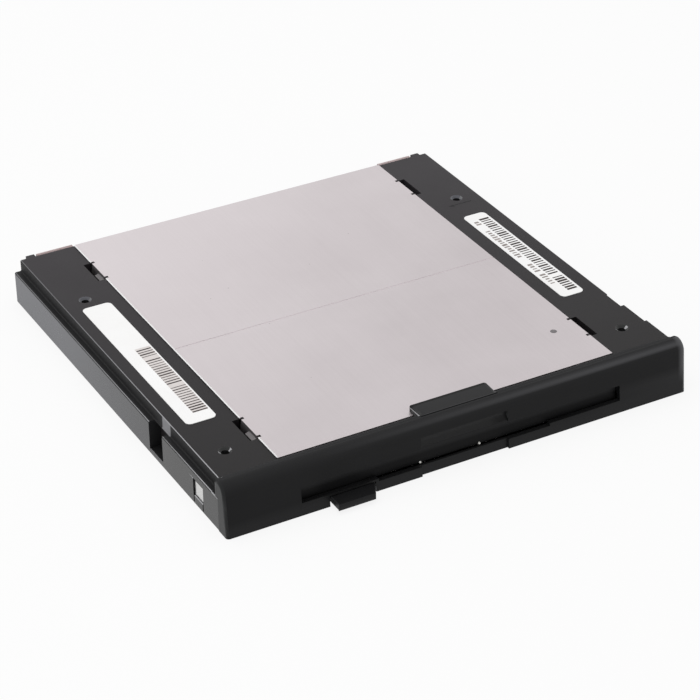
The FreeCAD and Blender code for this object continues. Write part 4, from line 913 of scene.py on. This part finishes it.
@dataclass
class Carrier:
    """The moulded carrier with the print of its two labels, and the moulded arrow by the rear right hole."""

    film_mm: float = 0.02
    tint_corner_mm: Spot = (3.6, 4.2)
    tint_mm: Spot = (4.2, 34.3)
    arrow_x_mm: Spot = (52.6, 59.9)
    arrow_y_mm: float = 33.7
    arrow_w_mm: float = 0.28
    neck_mm: float = 1.3
    barb_mm: float = 1.6
    barb_front_mm: float = 0.75
    barb_rear_mm: float = 0.4
    arrow_sunk_mm: float = 0.02
    arrow_h_mm: float = 0.04

    BARS = (Print("left_bars", "left_label", (3.6, 4.6), 4.2, 34.3, 1.13, 0.22, 0.5, 0.95, 11),
            Print("right_bars", "right_label", (3.2, 2.9), 3.1, 46.6, 1.17, 0.3, 0.75, 0.9, 29))
    DASHES = tuple(
        Print(f"right_dashes_{number}", "right_label", (0.9, ahead), 1.8, run, 1.25, 0.35, 0.75, 0.97, 31 + number,
              Finishes.PALE_INK, 0.6)
        for number, (ahead, run) in enumerate(((7.7, 13.0), (24.2, 18.5), (45.2, 3.5))))

    def build(self) -> None:
        """Dresses the moulding and adds what is printed or moulded on it."""
        CarrierSkin("carrier_frame", "housing", (Finishes.SATIN_ABS, Finishes.POLISHED_ABS, Finishes.MATT_ABS),
                    Finishes.BURNISHED_ABS).build()
        self.tint()
        for row in self.BARS + self.DASHES:
            row.build(self.film_mm)
        self.arrow()

    def tint(self) -> None:
        """Tints the left label's paper under its bars."""
        low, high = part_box("left_label")
        across, run = self.tint_mm
        middle = (low[0] / MM + self.tint_corner_mm[0] + across / 2, low[1] / MM + self.tint_corner_mm[1] + run / 2,
                  high[2] / MM)
        BarRow("left_tint", middle, (0, 0, 0), 1, (across, run, self.film_mm / 2), Finishes.TINTED_PAPER).build()

    def arrow(self) -> None:
        """Moulds the thin arrow as a raised dark line with a barbed head."""
        x0, x1 = self.arrow_x_mm
        y, half = self.arrow_y_mm, self.arrow_w_mm / 2
        neck, barb = x0 + self.neck_mm, x0 + self.barb_mm
        outline = ((x0, y), (barb, y - self.barb_front_mm), (neck, y - half), (x1, y - half), (x1, y + half),
                   (neck, y + half), (barb, y + self.barb_rear_mm))
        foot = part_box("carrier_frame")[1][2] - self.arrow_sunk_mm * MM
        work = bmesh.new()
        tube(work, [[work.verts.new((px * MM, py * MM, z)) for px, py in outline]
                    for z in (foot, foot + self.arrow_h_mm * MM)])
        new_piece("moulded_arrow", closed_mesh(work, "moulded_arrow", Finishes.MATT_ABS), "housing", "frame_black")


@dataclass
class Sheet:
    """The plated cover sheet with its bent tabs, and the burr of the shear along its left edge, painted white as a
    highlight.
    """

    edge_x_mm: float = -47.85
    burrs_mm: tuple[Spot, ...] = ((-54.6, -45.0), (-34.7, 44.3), (54.6, 65.1))
    burr_mm: tuple[Spot, ...] = ((-0.12, -0.09), (0.09, 0.12), (0.25, -0.04), (0.04, -0.25))
    tip_mm: float = 0.3
    tip_share: float = 0.2
    tip_sunk_mm: float = 0.08

    def build(self) -> None:
        """Dresses the sheet and lays the burr."""
        SheetSkin("cover_plate", "housing", (Finishes.ZINC_SHEET, Finishes.SHADED_GREY_STEEL, Finishes.SEAM_STEEL),
                  Finishes.SHADED_GREY_STEEL).build()
        for number, (y0, y1) in enumerate(self.burrs_mm):
            self.burr(f"sheared_burr_{number}", y0, y1)

    def burr(self, name: str, y0_mm: float, y1_mm: float) -> None:
        """Lays one stretch of the burr, painted white as a highlight, which runs out in the sheet at both ends.

        Args:
            name: Name of the stretch.
            y0_mm: Where it begins.
            y1_mm: Where it ends.
        """
        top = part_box("cover_plate")[1][2] / MM
        work = bmesh.new()
        rings = []
        for y, share in ((y0_mm - self.tip_mm, self.tip_share), (y0_mm, 1.0), (y1_mm, 1.0),
                         (y1_mm + self.tip_mm, self.tip_share)):
            sunk = self.tip_sunk_mm * (1 - share)
            rings.append([work.verts.new(in_metres((self.edge_x_mm + share * dx + sunk, y, top + share * dz - sunk)))
                          for dx, dz in self.burr_mm])
        tube(work, rings)
        new_piece(name, closed_mesh(work, name, Finishes.BURR_HIGHLIGHT), "housing", "base_steel")


@dataclass
class Front:
    """Bezel, eject button, the stop pips on the dust flap, painted white as light through gaps, and dark cheeks put
    at the slot's ends as painted shade.

    The pip's profile gives shares of its radius and of its length.
    """

    grip_edge_mm: float = 0.2
    button_edge_mm: float = 0.25
    pip_x_mm: tuple[float, ...] = (-12.1, 4.8)
    pip_r_mm: float = 0.33
    pip_l_mm: float = 0.6
    pip_profile: tuple[Spot, ...] = ((0.6, 0.0), (1.0, -0.3), (0.8, -0.75), (0.0, -1.0))
    pip_sides: int = 12
    pip_sunk_mm: float = 0.1
    pip_above_mm: float = 0.15
    cheek_x_mm: Spot = (45.5, 46.2)
    cheek_mm: tuple[Spot, ...] = ((-61.2, 1.0), (-58.4, 1.0), (-57.6, 1.8), (-57.6, 4.2), (-58.6, 7.1), (-60.6, 7.1))

    def build(self) -> None:
        """Dresses the bezel and the button, sets the pips on the flap and closes the slot's ends."""
        dark = (Finishes.BEZEL_ABS, Finishes.BEZEL_SHEEN, Finishes.BEZEL_MATT, Finishes.BEZEL_REFLECTION)
        BezelSkin("bezel", "housing", dark, Finishes.GRIP_EDGE, self.grip_edge_mm).build()
        BrokenEdges("eject_button", "eject_slider", (Finishes.BEZEL_ABS,), Finishes.BEZEL_EDGE,
                    self.button_edge_mm).build()
        for number, x in enumerate(self.pip_x_mm):
            self.pip(f"flap_pip_{number}", x)
        for name, side in (("right_flap_cheek", 1), ("left_flap_cheek", -1)):
            self.cheek(name, side)

    def cheek(self, name: str, side: int) -> None:
        """Moulds a dark web below a flap boss, put in as painted shade to keep the gap past the flap's end dark.

        Args:
            name: Name of the cheek.
            side: One for the right end, minus one for the left.
        """
        work = bmesh.new()
        tube(work, [[work.verts.new(in_metres((side * x, y, z))) for y, z in self.cheek_mm] for x in self.cheek_x_mm])
        new_piece(name, closed_mesh(work, name, Finishes.FLAP_ABS), "housing", "bezel_black")

    def pip(self, name: str, x_mm: float) -> None:
        """Turns one round-nosed pip on the front of the flap's lower edge, painted white as light through a gap.

        Args:
            name: Name of the pip.
            x_mm: Its place across the drive.
        """
        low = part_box("dust_flap")[0]
        radius, length = self.pip_r_mm * MM, self.pip_l_mm * MM
        work = bmesh.new()
        points = [work.verts.new((out * radius, ahead * length, 0.0)) for out, ahead in self.pip_profile]
        lines = [work.edges.new(pair) for pair in zip(points, points[1:])]
        bmesh.ops.spin(work, geom=points + lines, axis=(0, 1, 0), cent=(0, 0, 0), angle=math.tau,
                       steps=self.pip_sides)
        bmesh.ops.remove_doubles(work, verts=work.verts, dist=WELD)
        bmesh.ops.holes_fill(work, edges=work.edges)
        bmesh.ops.translate(work, verts=work.verts, vec=(
            x_mm * MM, low[1] + self.pip_sunk_mm * MM, low[2] + self.pip_above_mm * MM))
        new_piece(name, closed_mesh(work, name, Finishes.NYLON), "dust_flap", "label_paper")


@dataclass
class Mechanism:
    """Everything inside: the solids keep their shapes and get the finish of their slot."""

    contacts: int = 28
    contact_pitch_mm: float = 1.2
    contact_mm: Size = (0.5, 3.9, 0.2)
    contact_inset_mm: float = 0.4
    mouth_h_mm: float = 2.4

    def build(self) -> None:
        """Dresses the solids that nothing replaces, and lays the contacts in the plug's mouth."""
        for name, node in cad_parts.items():
            if node.hide_render:
                continue
            for place in node.material_slots:
                finish = Finishes.BY_SLOT[place.material.name.split(".")[0]]
                # The chassis rails take steel painted near black, as painted shade in the gap past the flap's end.
                if name.startswith("chassis_rail"):
                    finish = Finishes.PHOSPHATED
                place.material = finish.material()
            LOG.info("%s finished", name)
        for name, side in (("upper_contacts", 1), ("lower_contacts", -1)):
            self.lay_contacts(name, side)

    def lay_contacts(self, name: str, side: int) -> None:
        """Lays one row of contacts on a wall of the plug's mouth.

        Args:
            name: Name of the row.
            side: One for the upper wall, minus one for the lower wall.
        """
        low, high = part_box("bay_connector")
        _, length, thick = self.contact_mm
        middle = (low[0] + high[0]) / 2 / MM
        first = middle - (self.contacts - 1) * self.contact_pitch_mm / 2
        level = (low[2] + high[2]) / 2 / MM + side * (self.mouth_h_mm - thick) / 2
        BarRow(name, (first, high[1] / MM - length / 2 - self.contact_inset_mm, level), (self.contact_pitch_mm, 0, 0),
               self.contacts, self.contact_mm, Finishes.GOLD).build()


@dataclass(frozen=True)
class Softbox:
    """A square soft light that faces the drive and isn't mirrored in it, in metres and watts."""

    name: str
    place: Size
    side: float
    power: float

    def build(self) -> None:
        """Hangs the light."""
        data = bpy.data.lights.new(self.name, "AREA")
        data.size = self.side
        data.energy = self.power
        lamp = bpy.data.objects.new(self.name, data)
        lamp.visible_glossy = False
        faced = Vector(self.place).to_track_quat("Z", "Y").to_matrix().to_4x4()
        lamp.matrix_world = Matrix.Translation(self.place) @ faced
        bpy.context.scene.collection.objects.link(lamp)


@dataclass
class Studio:
    """Pale floor, soft light and the camera at the photograph's angle."""

    azimuth: float = -28.595
    elevation: float = 31.381
    roll: float = -0.709
    focal_px: float = 2496.1
    frame_px: float = 700.0
    sensor_mm: float = 36.0
    camera_at: Size = (-0.26863, -0.49658, 0.34356)
    nearest: float = 0.01
    sky: float = 0.62
    floor_z_mm: float = -0.1
    floor_size: float = 6.0
    floor_tone: Colour = (0.9, 0.9, 0.9, 1)
    floor_glow: float = 0.86

    LAMPS = (Softbox("overhead_softbox", (-0.15, 0.1, 0.9), 0.9, 3.2),
             Softbox("left_softbox", (-0.9, 0.1, 0.35), 0.5, 1.0))

    def build(self) -> None:
        """Sets the stage."""
        bpy.context.scene.view_settings.view_transform = "Standard"
        self.world()
        self.floor()
        for lamp in self.LAMPS:
            lamp.build()
        self.camera()

    def background(self, tree: Tree) -> Socket:
        """Adds the share of rays that see a white background.

        Args:
            tree: Tree of the world or the floor.

        Returns:
            One for camera, glossy and transmission rays, and zero for others.
        """
        rays = add(tree, "ShaderNodeLightPath").outputs
        seen = reckon(tree, "MAXIMUM", rays["Is Camera Ray"], rays["Is Glossy Ray"])
        return reckon(tree, "MAXIMUM", seen, rays["Is Transmission Ray"])

    def world(self) -> None:
        """Makes the even sky, white where it is seen."""
        world = bpy.data.worlds.new("white_room")
        bpy.context.scene.world = world
        world.use_nodes = True
        tree = world.node_tree
        tree.nodes.clear()
        level = ramp(tree, self.background(tree), result=(self.sky, 1.0))
        sky = add(tree, "ShaderNodeBackground", {"Color": WHITE, "Strength": level}).outputs[0]
        add(tree, "ShaderNodeOutputWorld", {"Surface": sky})

    def floor(self) -> None:
        """Makes the pale floor, which keeps the drive's shadow."""
        half = self.floor_size / 2
        z = self.floor_z_mm * MM
        mesh = bpy.data.meshes.new("pale_floor")
        mesh.from_pydata([(-half, -half, z), (half, -half, z), (half, half, z), (-half, half, z)], [], [(0, 1, 2, 3)])
        made = bpy.data.materials.new("white_paper_sweep")
        made.use_nodes = True
        tree = made.node_tree
        tree.nodes.clear()
        lit = add(tree, "ShaderNodeBsdfDiffuse", {"Color": self.floor_tone}).outputs[0]
        glow = add(tree, "ShaderNodeEmission", {"Color": WHITE, "Strength": 1.0}).outputs[0]
        share = reckon(tree, "MULTIPLY", self.background(tree), self.floor_glow)
        both = add(tree, "ShaderNodeMixShader", {0: share, 1: lit, 2: glow}).outputs[0]
        add(tree, "ShaderNodeOutputMaterial", {"Surface": both})
        mesh.materials.append(made)
        floor = bpy.data.objects.new("pale_floor", mesh)
        bpy.context.scene.collection.objects.link(floor)

    def camera(self) -> None:
        """Stands the camera where the photograph was taken from."""
        turn, rise, tilt = (math.radians(v) for v in (self.azimuth, self.elevation, self.roll))
        back = Vector((math.sin(turn) * math.cos(rise), -math.cos(turn) * math.cos(rise), math.sin(rise)))
        right = (-back).cross(Vector((0, 0, 1))).normalized()
        up = right.cross(-back)
        across = math.cos(tilt) * right + math.sin(tilt) * up
        above = math.cos(tilt) * up - math.sin(tilt) * right
        data = bpy.data.cameras.new("photo_camera")
        data.sensor_fit = "HORIZONTAL"
        data.sensor_width = self.sensor_mm
        data.lens = self.focal_px / self.frame_px * self.sensor_mm
        data.clip_start = self.nearest
        camera = bpy.data.objects.new("photo_camera", data)
        turned = Matrix((across, above, back)).transposed().to_4x4()
        camera.matrix_world = Matrix.Translation(self.camera_at) @ turned
        bpy.context.scene.collection.objects.link(camera)
        bpy.context.scene.camera = camera


def main() -> None:
    """Builds the drive's looks in order."""
    logging.basicConfig(level=logging.INFO, format="%(name)s: %(message)s")
    Studio().build()
    Carrier().build()
    Sheet().build()
    Front().build()
    Mechanism().build()


if __name__ == "__main__":
    main()
